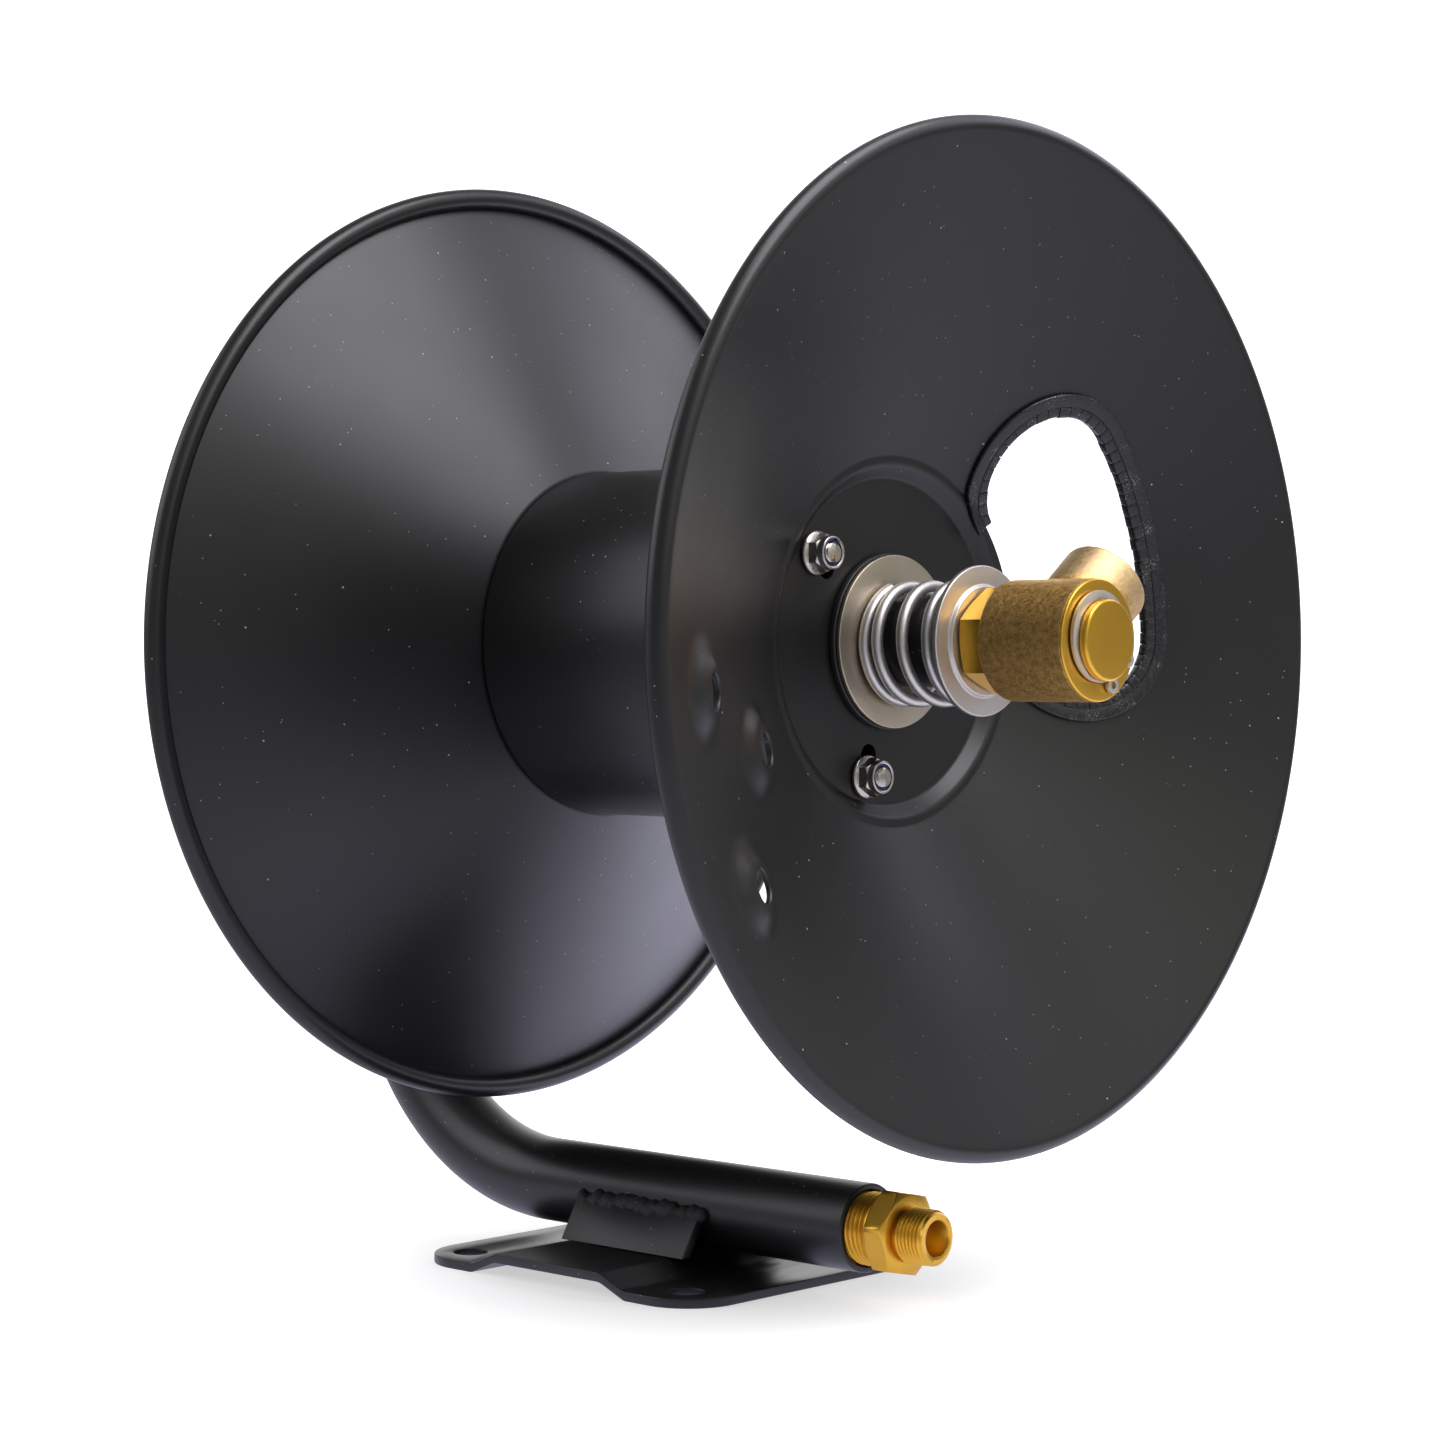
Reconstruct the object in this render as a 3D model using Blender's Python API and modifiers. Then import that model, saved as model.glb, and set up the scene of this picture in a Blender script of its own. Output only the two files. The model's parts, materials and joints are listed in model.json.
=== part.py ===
"""Hand hose reel: a C-shaped water tube on a foot plate, a flared drum and a brass swivel.

Metres, +Z up. The feet stand on z = 0 and the drum turns about a line parallel to X.
Places along the axle are measured from the middle of the drum, towards the swivel.
Clock angles on the drum run from +Y towards +Z.
"""

import math

import bmesh
import bpy
from mathutils import Matrix, Vector

OBJECT_NAME = "fire_hose_reel"

# Clearance that neighbouring solids keep
GAP = 0.0003

# Water tube, bent into a C: lower run, bend, upright, bend, axle
TUBE_RADIUS = 0.01345
TUBE_BORE_RADIUS = 0.01145
BEND_RADIUS = 0.080
LOWER_RUN_DROP = 0.176
LOWER_RUN_END = 0.0512
BEND_START = -0.0845
AXLE_END = 0.0924
BEND_STEPS = 8

# Foot plate, a shallow hat section with its bends parallel to Y
PLATE_THICKNESS = 0.003
PLATE_RISE = 0.0043
PLATE_CENTRE = -0.0330
PLATE_HALF_LENGTH = 0.0615
PLATE_HALF_DEPTH = 0.0540
PLATE_CORNER_RADIUS = 0.018
PLATE_BEND_RADIUS = 0.006
PLATEAU_HALF_LENGTH = 0.0231
FOOT_START = 0.0336
FOOT_HOLE_RADIUS = 0.0055
FOOT_HOLE_X = 0.0475
FOOT_HOLE_Y = 0.0410

# Saddle plates that lean on the lower run, front and rear
SADDLE_CENTRE = -0.0310
SADDLE_HALF_LENGTH = 0.0267
SADDLE_THICKNESS = 0.003
SADDLE_LEAN = math.radians(30.5)
SADDLE_FACE_FROM_TUBE_AXIS = 0.0132

# Pressed side flanges of the drum
DISC_RADIUS = 0.150
SHEET = 0.0015
RIM_BEAD_RADIUS = 0.00325
CONE_SLOPE = math.radians(27)
HUB_BORE_RADIUS = 0.0188
HUB_FLOOR_FACE = 0.0576
HUB_RING_FACE = 0.0613
HUB_WALL_FOOT_RADIUS = 0.0495
HUB_WALL_TOP_RADIUS = 0.0505
HUB_RING_RADIUS = 0.0553
HUB_FILLET = 0.0023

# Drum barrel
BARREL_RADIUS = 0.0550
BARREL_WALL = 0.0020

# Kidney-shaped hole for the hose in the swivel-side flange
HOSE_HOLE_ANGLE = math.radians(20.8)
HOSE_HOLE_HALF_SWEEP = math.radians(19.5)
HOSE_HOLE_MEAN_RADIUS = 0.0772
HOSE_HOLE_HALF_WIDTH = 0.0216
CONE_CUT_HALF_DEPTH = 0.0360

# Push-on edge trim round that hole
TRIM_BULB = 0.0022
TRIM_LIP = 0.0049
TRIM_THICKNESS = 0.0046
TRIM_REACH = 0.110

# Raised pads on the swivel-side flange, given as radius and clock angle
PAD_PLACES = ((0.1199, -173.2), (0.0846, -158.5), (0.1204, -146.1))
PAD_BASE_RADIUS = 0.0150
PAD_TOP_RADIUS = 0.0075
PAD_HEIGHT = 0.0034
PAD_HOLE_RADIUS = 0.0047

# Three tie studs through the drum, in radial slots at these clock angles
TIE_RADIUS = 0.0412
TIE_ANGLES = (math.radians(19.0), math.radians(141.7), math.radians(256.2))
STUD_RADIUS = 0.0030
STUD_HALF_LENGTH = 0.0654
SLOT_HALF_WIDTH = 0.0034
SLOT_INNER_RADIUS = 0.0347
SLOT_OUTER_RADIUS = 0.0412
NUT_FLANGE_RADIUS = 0.0065
NUT_FLANGE_HEIGHT = 0.0012
NUT_FLANGE_SLOPE = 0.0003
NUT_ACROSS_FLATS = 0.0100
NUT_HEX_HEIGHT = 0.0047
NUT_COLLAR_RADIUS = 0.00505
NUT_HEIGHT = 0.0070
NUT_POCKET_RADIUS = 0.0043
INSERT_HEIGHT = 0.0015

# Flanged bushes that run on the axle
BUSH_BORE_RADIUS = 0.01380
BUSH_SLEEVE_RADIUS = 0.0184
BUSH_SLEEVE_START = 0.0420
BUSH_FLANGE_RADIUS = 0.0264
BUSH_FLANGE_FACE = 0.0598

# Washers and collar either side of the drum
HUB_WASHER_RADIUS = 0.0258
HUB_WASHER_FACE = 0.0614
COLLAR_RADIUS = 0.0205
COLLAR_LENGTH = 0.0060
CUP_RADIUS = 0.0220
CUP_FACE = 0.0943
CUP_STEP_RADIUS = 0.0165
CUP_THICKNESS = 0.0016
CUP_STEP = 0.0012
CUP_EDGE = 0.0003

# Drag spring, closed at both ends, that hangs a little low on the axle
SPRING_WIRE_RADIUS = 0.00175
SPRING_MEAN_RADIUS = 0.0170
SPRING_SAG = 0.0007
SPRING_RISE = ((0.0, 0.0), (0.2, 0.0), (1.2, 0.0048), (2.2, 0.0143), (3.2, 0.0236), (4.0, 0.0272))
SPRING_START_ANGLE = math.radians(108)
SPRING_POINTS_PER_TURN = 10

# Brass swivel stem screwed into the axle
STEM_RADIUS = 0.0116
STEM_SPIGOT_RADIUS = 0.0111
STEM_SPIGOT_START = 0.0760
STEM_BORE_RADIUS = 0.0050
STEM_BORE_END = 0.1240
STEM_END = 0.1395
STEM_CHAMFER = 0.0009
STEM_HEX_ACROSS_FLATS = 0.0268
STEM_HEX_ANGLE = math.radians(7)
STEM_HEX_START = 0.0960
STEM_HEX_END = 0.1052
STEM_PORT_RADIUS = 0.0030

# Snap ring in its groove
RING_RADIUS = 0.0130
RING_OFFSET = 0.0015
RING_THICKNESS = 0.0011
RING_ALONG = 0.1359
RING_BORE_RADIUS = 0.0112
RING_GROOVE_RADIUS = 0.0108
RING_GAP_ANGLE = math.radians(-46)
RING_GAP_HALF_ANGLE = math.radians(22)
RING_EAR_RADIUS = 0.0023
RING_EAR_PLACE = 0.0136
RING_EAR_ANGLE = math.radians(22.5)
RING_EAR_HOLE = 0.0011

# Cast swivel body with its side outlet
BODY_RADIUS = 0.0175
BODY_START = 0.1056
BODY_END = 0.1354
BODY_BORE_RADIUS = 0.0120
BODY_EDGE = 0.0006
OUTLET_ALONG = 0.1207
OUTLET_ANGLE = math.radians(36.5)
OUTLET_RADIUS = 0.0134
OUTLET_REACH = 0.0285
OUTLET_SOCKET_RADIUS = 0.0076
OUTLET_SOCKET_DEPTH = 0.0100
OUTLET_PORT_RADIUS = 0.0040
GALLERY_RADIUS = 0.0142
GALLERY_HALF_LENGTH = 0.0045
SEAL_SECTION_RADIUS = 0.0010
SEAL_MEAN_RADIUS = 0.0131
SEAL_GROOVE_RADIUS = 0.0146
SEAL_GROOVE_HALF_LENGTH = 0.0014
SEAL_PLACES = {"swivel_seal_inner": 0.1110, "swivel_seal_outer": 0.1304}

# Brass inlet nipple in the lower run
INLET_THREAD_RADIUS = 0.00855
INLET_SPIGOT_RADIUS = 0.0111
INLET_SPIGOT_START = 0.0300
INLET_HEX_ACROSS_FLATS = 0.0237
INLET_HEX_ANGLE = math.radians(18)
INLET_HEX_START = 0.0588
INLET_HEX_END = 0.0668
INLET_END = 0.0775
INLET_CHAMFER = 0.0009
INLET_BORE_RADIUS = 0.0053

# Facets round a turned piece
DISC_STEPS = 40
HUB_STEPS = 30
FINE_STEPS = 20
SMALL_STEPS = 12
EYE_STEPS = 10

# Facets of bars, bends and rounded outlines
TUBE_BEVEL = 7
SPRING_BEVEL = 1
FILLET_STEPS = 3
FLANGE_FILLET_STEPS = 2
CORNER_STEPS = 6
RIM_CURL_STEPS = 8
HOSE_HOLE_ARC_STEPS = 6
HOSE_HOLE_END_STEPS = 10
SLOT_END_STEPS = 8
SEAL_SECTION_STEPS = 6

# Edges sharper than this are shaded as edges, and points closer than this are one
SHARP_ANGLE = math.radians(35)
MERGE_DISTANCE = 1e-6

# The part stands on its feet, centred on its own box
AXIS_HEIGHT = LOWER_RUN_DROP + TUBE_RADIUS + GAP + PLATE_RISE + PLATE_THICKNESS
UPRIGHT_X = BEND_START - BEND_RADIUS
DRUM_X = (TUBE_RADIUS - UPRIGHT_X - STEM_END) / 2

# Local axes of everything turned about the axle: local Z lies along world X
AXLE_TURN = Matrix(((0, 0, 1), (1, 0, 0), (0, 1, 0))).to_euler()

# Colour, roughness and metallic value of each finish
BLACK_PAINT = ((0.012, 0.012, 0.014), 0.42, 0.0)
BLACK_PLASTIC = ((0.010, 0.010, 0.010), 0.35, 0.0)
BRIGHT_STEEL = ((0.62, 0.60, 0.57), 0.24, 1.0)
ZINC_STEEL = ((0.68, 0.68, 0.66), 0.30, 1.0)
BLUE_NYLON = ((0.02, 0.03, 0.16), 0.45, 0.0)
TURNED_BRASS = ((0.83, 0.58, 0.16), 0.22, 1.0)
CAST_BRASS = ((0.60, 0.41, 0.13), 0.45, 1.0)
SEAL_RUBBER = ((0.015, 0.015, 0.015), 0.70, 0.0)


def clear_scene():
    """Removes whatever the scene holds."""
    for old in list(bpy.data.objects):
        bpy.data.objects.remove(old, do_unlink=True)


def new_collection(name):
    """Links a new collection to the scene."""
    collection = bpy.data.collections.new(name)
    bpy.context.scene.collection.children.link(collection)
    return collection


def finish_material(name, finish):
    """A Principled material of one piece."""
    colour, roughness, metallic = finish
    made = bpy.data.materials.new(f"{name}_finish")
    made.use_nodes = True
    shader = made.node_tree.nodes["Principled BSDF"]
    shader.inputs["Base Color"].default_value = (*colour, 1.0)
    shader.inputs["Roughness"].default_value = roughness
    shader.inputs["Metallic"].default_value = metallic
    return made


def add_datum(name, along_x, height, rotation=(0, 0, 0)):
    """An empty that carries pieces; a turning piece's datum lies on its axis."""
    datum = bpy.data.objects.new(name, None)
    datum.location = (along_x, 0, height)
    datum.rotation_euler = rotation
    PIECES.objects.link(datum)
    return datum


def add_piece(name, mesh, datum, finish):
    """One named piece of the reel, with its own material."""
    piece = bpy.data.objects.new(name, mesh)
    piece.parent = datum
    PIECES.objects.link(piece)
    mesh.materials.append(finish_material(name, finish))
    mesh.shade_smooth()
    mesh.set_sharp_from_angle(angle=SHARP_ANGLE)
    return piece


def add_tool(name, mesh, datum):
    """A body that only cuts or is joined to a piece."""
    tool = bpy.data.objects.new(name, mesh)
    tool.parent = datum
    tool.hide_render = True
    tool.display_type = "WIRE"
    TOOLS.objects.link(tool)
    return tool


def boolean(piece, tool, operation):
    """Cuts a piece by a tool, joins the tool to it or keeps what both share."""
    modifier = piece.modifiers.new(tool.name, "BOOLEAN")
    modifier.operation = operation
    modifier.object = tool
    modifier.solver = "EXACT"


def along_clock(radius, angle, along=0.0):
    """A point by its distance from the axle, its clock angle and its place along the axle."""
    return Vector((radius * math.cos(angle), radius * math.sin(angle), along))


def arc(centre, radius, start, end, steps):
    """Points of an arc in a plane, both ends included."""
    return [
        (
            centre[0] + radius * math.cos(start + (end - start) * i / steps),
            centre[1] + radius * math.sin(start + (end - start) * i / steps),
        )
        for i in range(steps + 1)
    ]


def filleted(corners, radius, steps):
    """An open line of corners with each inner corner rounded."""
    line = [corners[0]]
    for before, corner, after in zip(corners, corners[1:], corners[2:]):
        here = Vector(corner)
        back = (Vector(before) - here).normalized()
        ahead = (Vector(after) - here).normalized()
        half = back.angle(ahead) / 2
        centre = here + (back + ahead).normalized() * radius / math.sin(half)
        first = here + back * radius / math.tan(half) - centre
        last = here + ahead * radius / math.tan(half) - centre
        turn = first.angle_signed(last)
        for i in range(steps + 1):
            line.append(tuple(centre + Matrix.Rotation(-turn * i / steps, 2) @ first))
    line.append(corners[-1])
    return line


def offset_line(line, distance):
    """An open line moved sideways, to its left for a positive distance."""
    moved = []
    for i, point in enumerate(line):
        before = Vector(line[max(i - 1, 0)])
        after = Vector(line[min(i + 1, len(line) - 1)])
        here = Vector(point)
        sides = [(b - a).normalized() for a, b in ((before, here), (here, after)) if a != b]
        lefts = [Vector((-side.y, side.x)) for side in sides]
        mean = sum(lefts, Vector((0, 0))).normalized()
        moved.append(tuple(here + mean * distance / mean.dot(lefts[0])))
    return moved


def sheet_outline(line, thickness):
    """The closed outline of bent sheet, from the line at the middle of its thickness."""
    return offset_line(line, thickness / 2) + offset_line(line, -thickness / 2)[::-1]


def turned_mesh(name, profile, steps):
    """A turned solid from (radius, along) points, solid where both ends lie on the axis."""
    closed = min(radius for radius, _ in profile) > 0
    area = sum(
        a[0] * b[1] - b[0] * a[1] for a, b in zip(profile, profile[1:] + profile[:1])
    )
    runs_down = profile if area < 0 else profile[::-1]
    count = len(runs_down)
    edges = [(i, (i + 1) % count) for i in range(count if closed else count - 1)]
    mesh = bpy.data.meshes.new(name)
    mesh.from_pydata([(radius, 0, along) for radius, along in runs_down], edges, [])
    lathe = bpy.data.objects.new(f"{name}_lathe", mesh)
    TOOLS.objects.link(lathe)
    screw = lathe.modifiers.new("turn", "SCREW")
    screw.steps = steps
    screw.render_steps = steps
    screw.use_merge_vertices = True
    screw.merge_threshold = MERGE_DISTANCE
    return baked_mesh(lathe)


def prism_mesh(name, outline, half_depth):
    """A flat outline given a thickness, evenly to both sides of its plane."""
    curve = bpy.data.curves.new(name, "CURVE")
    curve.dimensions = "2D"
    curve.fill_mode = "BOTH"
    curve.extrude = half_depth
    spline = curve.splines.new("POLY")
    spline.points.add(len(outline) - 1)
    for point, (across, up) in zip(spline.points, outline):
        point.co = (across, up, 0, 1)
    spline.use_cyclic_u = True
    flat = bpy.data.objects.new(f"{name}_outline", curve)
    TOOLS.objects.link(flat)
    return baked_mesh(flat)


def tube_mesh(name, points, radius, bevel_resolution):
    """A round bar along a line of points, with closed ends."""
    curve = bpy.data.curves.new(name, "CURVE")
    curve.dimensions = "3D"
    curve.bevel_depth = radius
    curve.bevel_resolution = bevel_resolution
    curve.use_fill_caps = True
    spline = curve.splines.new("POLY")
    spline.points.add(len(points) - 1)
    for point, place in zip(spline.points, points):
        point.co = (*place, 1)
    bar = bpy.data.objects.new(f"{name}_line", curve)
    TOOLS.objects.link(bar)
    return baked_mesh(bar)


def baked_mesh(source):
    """The evaluated shape of an object as a welded mesh; the object is removed."""
    bpy.context.view_layer.update()
    graph = bpy.context.evaluated_depsgraph_get()
    mesh = bpy.data.meshes.new_from_object(source.evaluated_get(graph))
    mesh.name = source.name
    bpy.data.objects.remove(source, do_unlink=True)
    work = bmesh.new()
    work.from_mesh(mesh)
    bmesh.ops.remove_doubles(work, verts=work.verts, dist=MERGE_DISTANCE)
    bmesh.ops.recalc_face_normals(work, faces=work.faces)
    work.to_mesh(mesh)
    work.free()
    return mesh


def bar_mesh(name, radius, start, end, sides, places=None, top_radius=None):
    """Straight bars along local Z, one at each placing matrix."""
    work = bmesh.new()
    for place in places or [Matrix.Identity(4)]:
        bmesh.ops.create_cone(
            work,
            cap_ends=True,
            segments=sides,
            radius1=radius,
            radius2=radius if top_radius is None else top_radius,
            depth=end - start,
            matrix=place @ Matrix.Translation((0, 0, (start + end) / 2)),
        )
    mesh = bpy.data.meshes.new(name)
    work.to_mesh(mesh)
    work.free()
    return mesh


def hexagon_mesh(name, across_flats, start, end, angle=0.0):
    """A hexagon bar along local Z, with one flat facing the given clock angle."""
    turn = Matrix.Rotation(angle, 4, "Z")
    return bar_mesh(name, across_flats / math.sqrt(3), start, end, 6, [turn])


def washer_mesh(name, bore, radius, start, end, steps=HUB_STEPS):
    """A plain ring along local Z."""
    profile = [(bore, end), (radius, end), (radius, start), (bore, start)]
    return turned_mesh(name, profile, steps)


def make_frame_tube():
    """The water tube, bored from the inlet to the swivel stem."""
    drop = -LOWER_RUN_DROP
    lower = arc((BEND_START, drop + BEND_RADIUS), BEND_RADIUS, -math.pi / 2, -math.pi, BEND_STEPS)
    upper = arc((BEND_START, -BEND_RADIUS), BEND_RADIUS, math.pi, math.pi / 2, BEND_STEPS)
    line = [(x, 0, z) for x, z in [(LOWER_RUN_END, drop), *lower, *upper, (AXLE_END, 0)]]
    mesh = tube_mesh("frame_tube", line, TUBE_RADIUS, TUBE_BEVEL)
    tube = add_piece("frame_tube", mesh, FRAME, BLACK_PAINT)
    past = Vector((TUBE_RADIUS, 0, 0))
    through = [Vector(line[0]) + past, *line[1:-1], Vector(line[-1]) + past]
    hollow = tube_mesh("tube_bore", through, TUBE_BORE_RADIUS, TUBE_BEVEL)
    boolean(tube, add_tool("tube_bore", hollow, FRAME), "DIFFERENCE")


def make_foot_plate():
    """The hat-section foot plate with its four bolt holes."""
    foot = PLATE_THICKNESS / 2
    corners = [
        (-PLATE_HALF_LENGTH, foot),
        (-FOOT_START, foot),
        (-PLATEAU_HALF_LENGTH, foot + PLATE_RISE),
        (PLATEAU_HALF_LENGTH, foot + PLATE_RISE),
        (FOOT_START, foot),
        (PLATE_HALF_LENGTH, foot),
    ]
    section = sheet_outline(filleted(corners, PLATE_BEND_RADIUS, FILLET_STEPS), PLATE_THICKNESS)
    plate = add_piece(
        "base_plate",
        prism_mesh("base_plate", section, PLATE_HALF_DEPTH + GAP),
        PLATE,
        BLACK_PAINT,
    )
    plate.rotation_euler = (math.radians(90), 0, 0)
    reach_x = PLATE_HALF_LENGTH - PLATE_CORNER_RADIUS
    reach_y = PLATE_HALF_DEPTH - PLATE_CORNER_RADIUS
    outline = []
    for quarter, (side_x, side_y) in enumerate(((1, 1), (-1, 1), (-1, -1), (1, -1))):
        start = quarter * math.pi / 2
        centre = (side_x * reach_x, side_y * reach_y)
        outline += arc(centre, PLATE_CORNER_RADIUS, start, start + math.pi / 2, CORNER_STEPS)
    reach = 2 * (PLATE_RISE + PLATE_THICKNESS)
    blank = prism_mesh("plate_blank", outline, reach)
    boolean(plate, add_tool("plate_blank", blank, PLATE), "INTERSECT")
    places = [
        Matrix.Translation((side_x * FOOT_HOLE_X, side_y * FOOT_HOLE_Y, 0))
        for side_x in (-1, 1)
        for side_y in (-1, 1)
    ]
    holes = bar_mesh("foot_holes", FOOT_HOLE_RADIUS, -reach, reach, FINE_STEPS, places)
    boolean(plate, add_tool("foot_holes", holes, PLATE), "DIFFERENCE")


def saddle_outline(side):
    """Section of a saddle plate in (y, z) from the lower run's axis; side is -1 at the front.

    The plate leans in until the inner corner of its square-cut top meets the tube.
    """
    outward = Vector((math.cos(SADDLE_LEAN), math.sin(SADDLE_LEAN)))
    upward = Vector((-math.sin(SADDLE_LEAN), math.cos(SADDLE_LEAN)))
    inner_face = SADDLE_FACE_FROM_TUBE_AXIS - SADDLE_THICKNESS
    top = -math.sqrt((TUBE_RADIUS + GAP) ** 2 - inner_face**2)
    outline = []
    for distance in (inner_face, SADDLE_FACE_FROM_TUBE_AXIS):
        face = outward * distance
        foot = face + upward * (-TUBE_RADIUS - face.y) / upward.y
        ends = [foot, face + upward * top]
        outline += ends if not outline else ends[::-1]
    return [(side * point.x, point.y) for point in outline]


def make_saddles():
    """The two plates that carry the lower run on the foot plate."""
    for name, side in (("saddle_front", -1), ("saddle_rear", 1)):
        mesh = prism_mesh(name, saddle_outline(side), SADDLE_HALF_LENGTH)
        saddle = add_piece(name, mesh, INLET, BLACK_PAINT)
        saddle.location = (0, 0, SADDLE_CENTRE)


def flange_line(outer_radius):
    """Mid-thickness line of a flange in (radius, along), out to a radius on the cone."""
    floor = HUB_FLOOR_FACE - SHEET / 2
    ring = HUB_RING_FACE - SHEET / 2
    return [
        (HUB_BORE_RADIUS, floor),
        (HUB_WALL_FOOT_RADIUS, floor),
        (HUB_WALL_TOP_RADIUS, ring),
        (HUB_RING_RADIUS, ring),
        (outer_radius, ring + (outer_radius - HUB_RING_RADIUS) * math.tan(CONE_SLOPE)),
    ]


def flange_profile():
    """Closed outline of a flange: pressed hub, cone and curled rim."""
    outward = Vector((math.cos(CONE_SLOPE), math.sin(CONE_SLOPE)))
    proud = Vector((-math.sin(CONE_SLOPE), math.cos(CONE_SLOPE)))
    rim_radius = DISC_RADIUS - RIM_BEAD_RADIUS
    foot = Vector((HUB_RING_RADIUS, HUB_RING_FACE - SHEET / 2))
    reach = (rim_radius - foot.x + (RIM_BEAD_RADIUS - SHEET / 2) * proud.x) / outward.x
    end = foot + outward * reach
    rim = end - proud * (RIM_BEAD_RADIUS - SHEET / 2)
    corners = flange_line(rim_radius)[:-1] + [tuple(end)]
    line = filleted(corners, HUB_FILLET, FLANGE_FILLET_STEPS)
    face = offset_line(line, SHEET / 2)
    back = offset_line(line, -SHEET / 2)
    inset = RIM_BEAD_RADIUS - SHEET
    meets = math.acos(inset / RIM_BEAD_RADIUS)
    start = math.atan2(proud.y, proud.x)
    curl = arc(rim, RIM_BEAD_RADIUS, start, start - (math.tau - meets), RIM_CURL_STEPS)
    return face[:-1] + curl + back[-2::-1]


def cone_place(radius, angle):
    """Placing matrix on the outer face of the swivel-side cone, local Z square to the sheet."""
    line = flange_line(radius)
    middle = Vector(line[-1])
    normal = (-math.sin(CONE_SLOPE), math.cos(CONE_SLOPE))
    face = middle + Vector(normal) * SHEET / 2
    turn = Matrix.Rotation(angle, 4, "Z") @ Matrix.Translation((face.x, 0, face.y))
    return turn @ Matrix.Rotation(-CONE_SLOPE, 4, "Y")


def kidney_outline(half_width):
    """Outline of the hose hole, or of a shape evenly larger or smaller than it."""
    middle = HOSE_HOLE_ANGLE
    sweep = HOSE_HOLE_HALF_SWEEP
    mean = HOSE_HOLE_MEAN_RADIUS
    first = middle - sweep
    last = middle + sweep
    outer = arc((0, 0), mean + half_width, first, last, HOSE_HOLE_ARC_STEPS)
    inner = arc((0, 0), mean - half_width, last, first, HOSE_HOLE_ARC_STEPS)
    top = along_clock(mean, last)
    bottom = along_clock(mean, first)
    half_turn = math.pi
    top_end = arc(top, half_width, last, last + half_turn, HOSE_HOLE_END_STEPS)
    bottom_end = arc(bottom, half_width, first + half_turn, first + math.tau, HOSE_HOLE_END_STEPS)
    return outer[:-1] + top_end + inner[1:-1] + bottom_end[:-1]


def cone_cutter(name, outline):
    """A cutter with its outline square to the axle, through the cone where the hose hole is."""
    tool = add_tool(name, prism_mesh(name, outline, CONE_CUT_HALF_DEPTH), DRUM)
    tool.location = (0, 0, flange_line(HOSE_HOLE_MEAN_RADIUS)[-1][1])
    return tool


def slot_tool(name, along):
    """Cutter for the three radial slots of the tie studs."""
    middle = (SLOT_INNER_RADIUS + SLOT_OUTER_RADIUS) / 2
    half = (SLOT_OUTER_RADIUS - SLOT_INNER_RADIUS) / 2
    work = bmesh.new()
    quarter = math.pi / 2
    outline = arc((half, 0), SLOT_HALF_WIDTH, -quarter, quarter, SLOT_END_STEPS)
    outline += arc((-half, 0), SLOT_HALF_WIDTH, quarter, 3 * quarter, SLOT_END_STEPS)
    for i, angle in enumerate(TIE_ANGLES):
        slot = prism_mesh(f"{name}_{i}", outline, SHEET * 2)
        turn = Matrix.Rotation(angle, 4, "Z")
        slot.transform(turn @ Matrix.Translation((middle, 0, 0)))
        work.from_mesh(slot)
    mesh = bpy.data.meshes.new(name)
    work.to_mesh(mesh)
    work.free()
    tool = add_tool(name, mesh, DRUM)
    tool.location = (0, 0, along)
    return tool


def pad_mesh(name, sink, skirt, places):
    """Flat-topped cones of the raised pads, sunk below the sheet's face and run on below it."""
    spread = (PAD_BASE_RADIUS - PAD_TOP_RADIUS) / PAD_HEIGHT
    foot_radius = PAD_BASE_RADIUS + spread * skirt
    top = PAD_HEIGHT - sink
    return bar_mesh(name, foot_radius, -skirt - sink, top, FINE_STEPS, places, PAD_TOP_RADIUS)


def make_flanges():
    """Both side flanges; the swivel side has the hose hole and the raised pads."""
    profile = flange_profile()
    floor = HUB_FLOOR_FACE - SHEET / 2
    right = add_piece(
        "flange_right", turned_mesh("flange_right", profile, DISC_STEPS), DRUM, BLACK_PAINT
    )
    mirrored = [(radius, -along) for radius, along in profile]
    left = add_piece(
        "flange_left", turned_mesh("flange_left", mirrored, DISC_STEPS), DRUM, BLACK_PAINT
    )
    hole = cone_cutter("hose_hole", kidney_outline(HOSE_HOLE_HALF_WIDTH))
    boolean(right, hole, "DIFFERENCE")
    places = [cone_place(radius, math.radians(degrees)) for radius, degrees in PAD_PLACES]
    pads = add_tool("pads", pad_mesh("pads", 0, SHEET / 2, places), DRUM)
    boolean(right, pads, "UNION")
    hollows = add_tool("pad_hollows", pad_mesh("pad_hollows", SHEET, SHEET, places), DRUM)
    boolean(right, hollows, "DIFFERENCE")
    reach = PAD_HEIGHT * 3
    holes = bar_mesh("pad_holes", PAD_HOLE_RADIUS, -reach, reach, SMALL_STEPS, places)
    boolean(right, add_tool("pad_holes", holes, DRUM), "DIFFERENCE")
    boolean(right, slot_tool("slots_right", floor), "DIFFERENCE")
    boolean(left, slot_tool("slots_left", -floor), "DIFFERENCE")


def make_barrel():
    """The tube between the flanges that the hose winds on."""
    half = HUB_RING_FACE - SHEET - GAP
    mesh = washer_mesh("barrel", BARREL_RADIUS - BARREL_WALL, BARREL_RADIUS, -half, half, DISC_STEPS)
    add_piece("barrel", mesh, DRUM, BLACK_PAINT)


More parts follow.
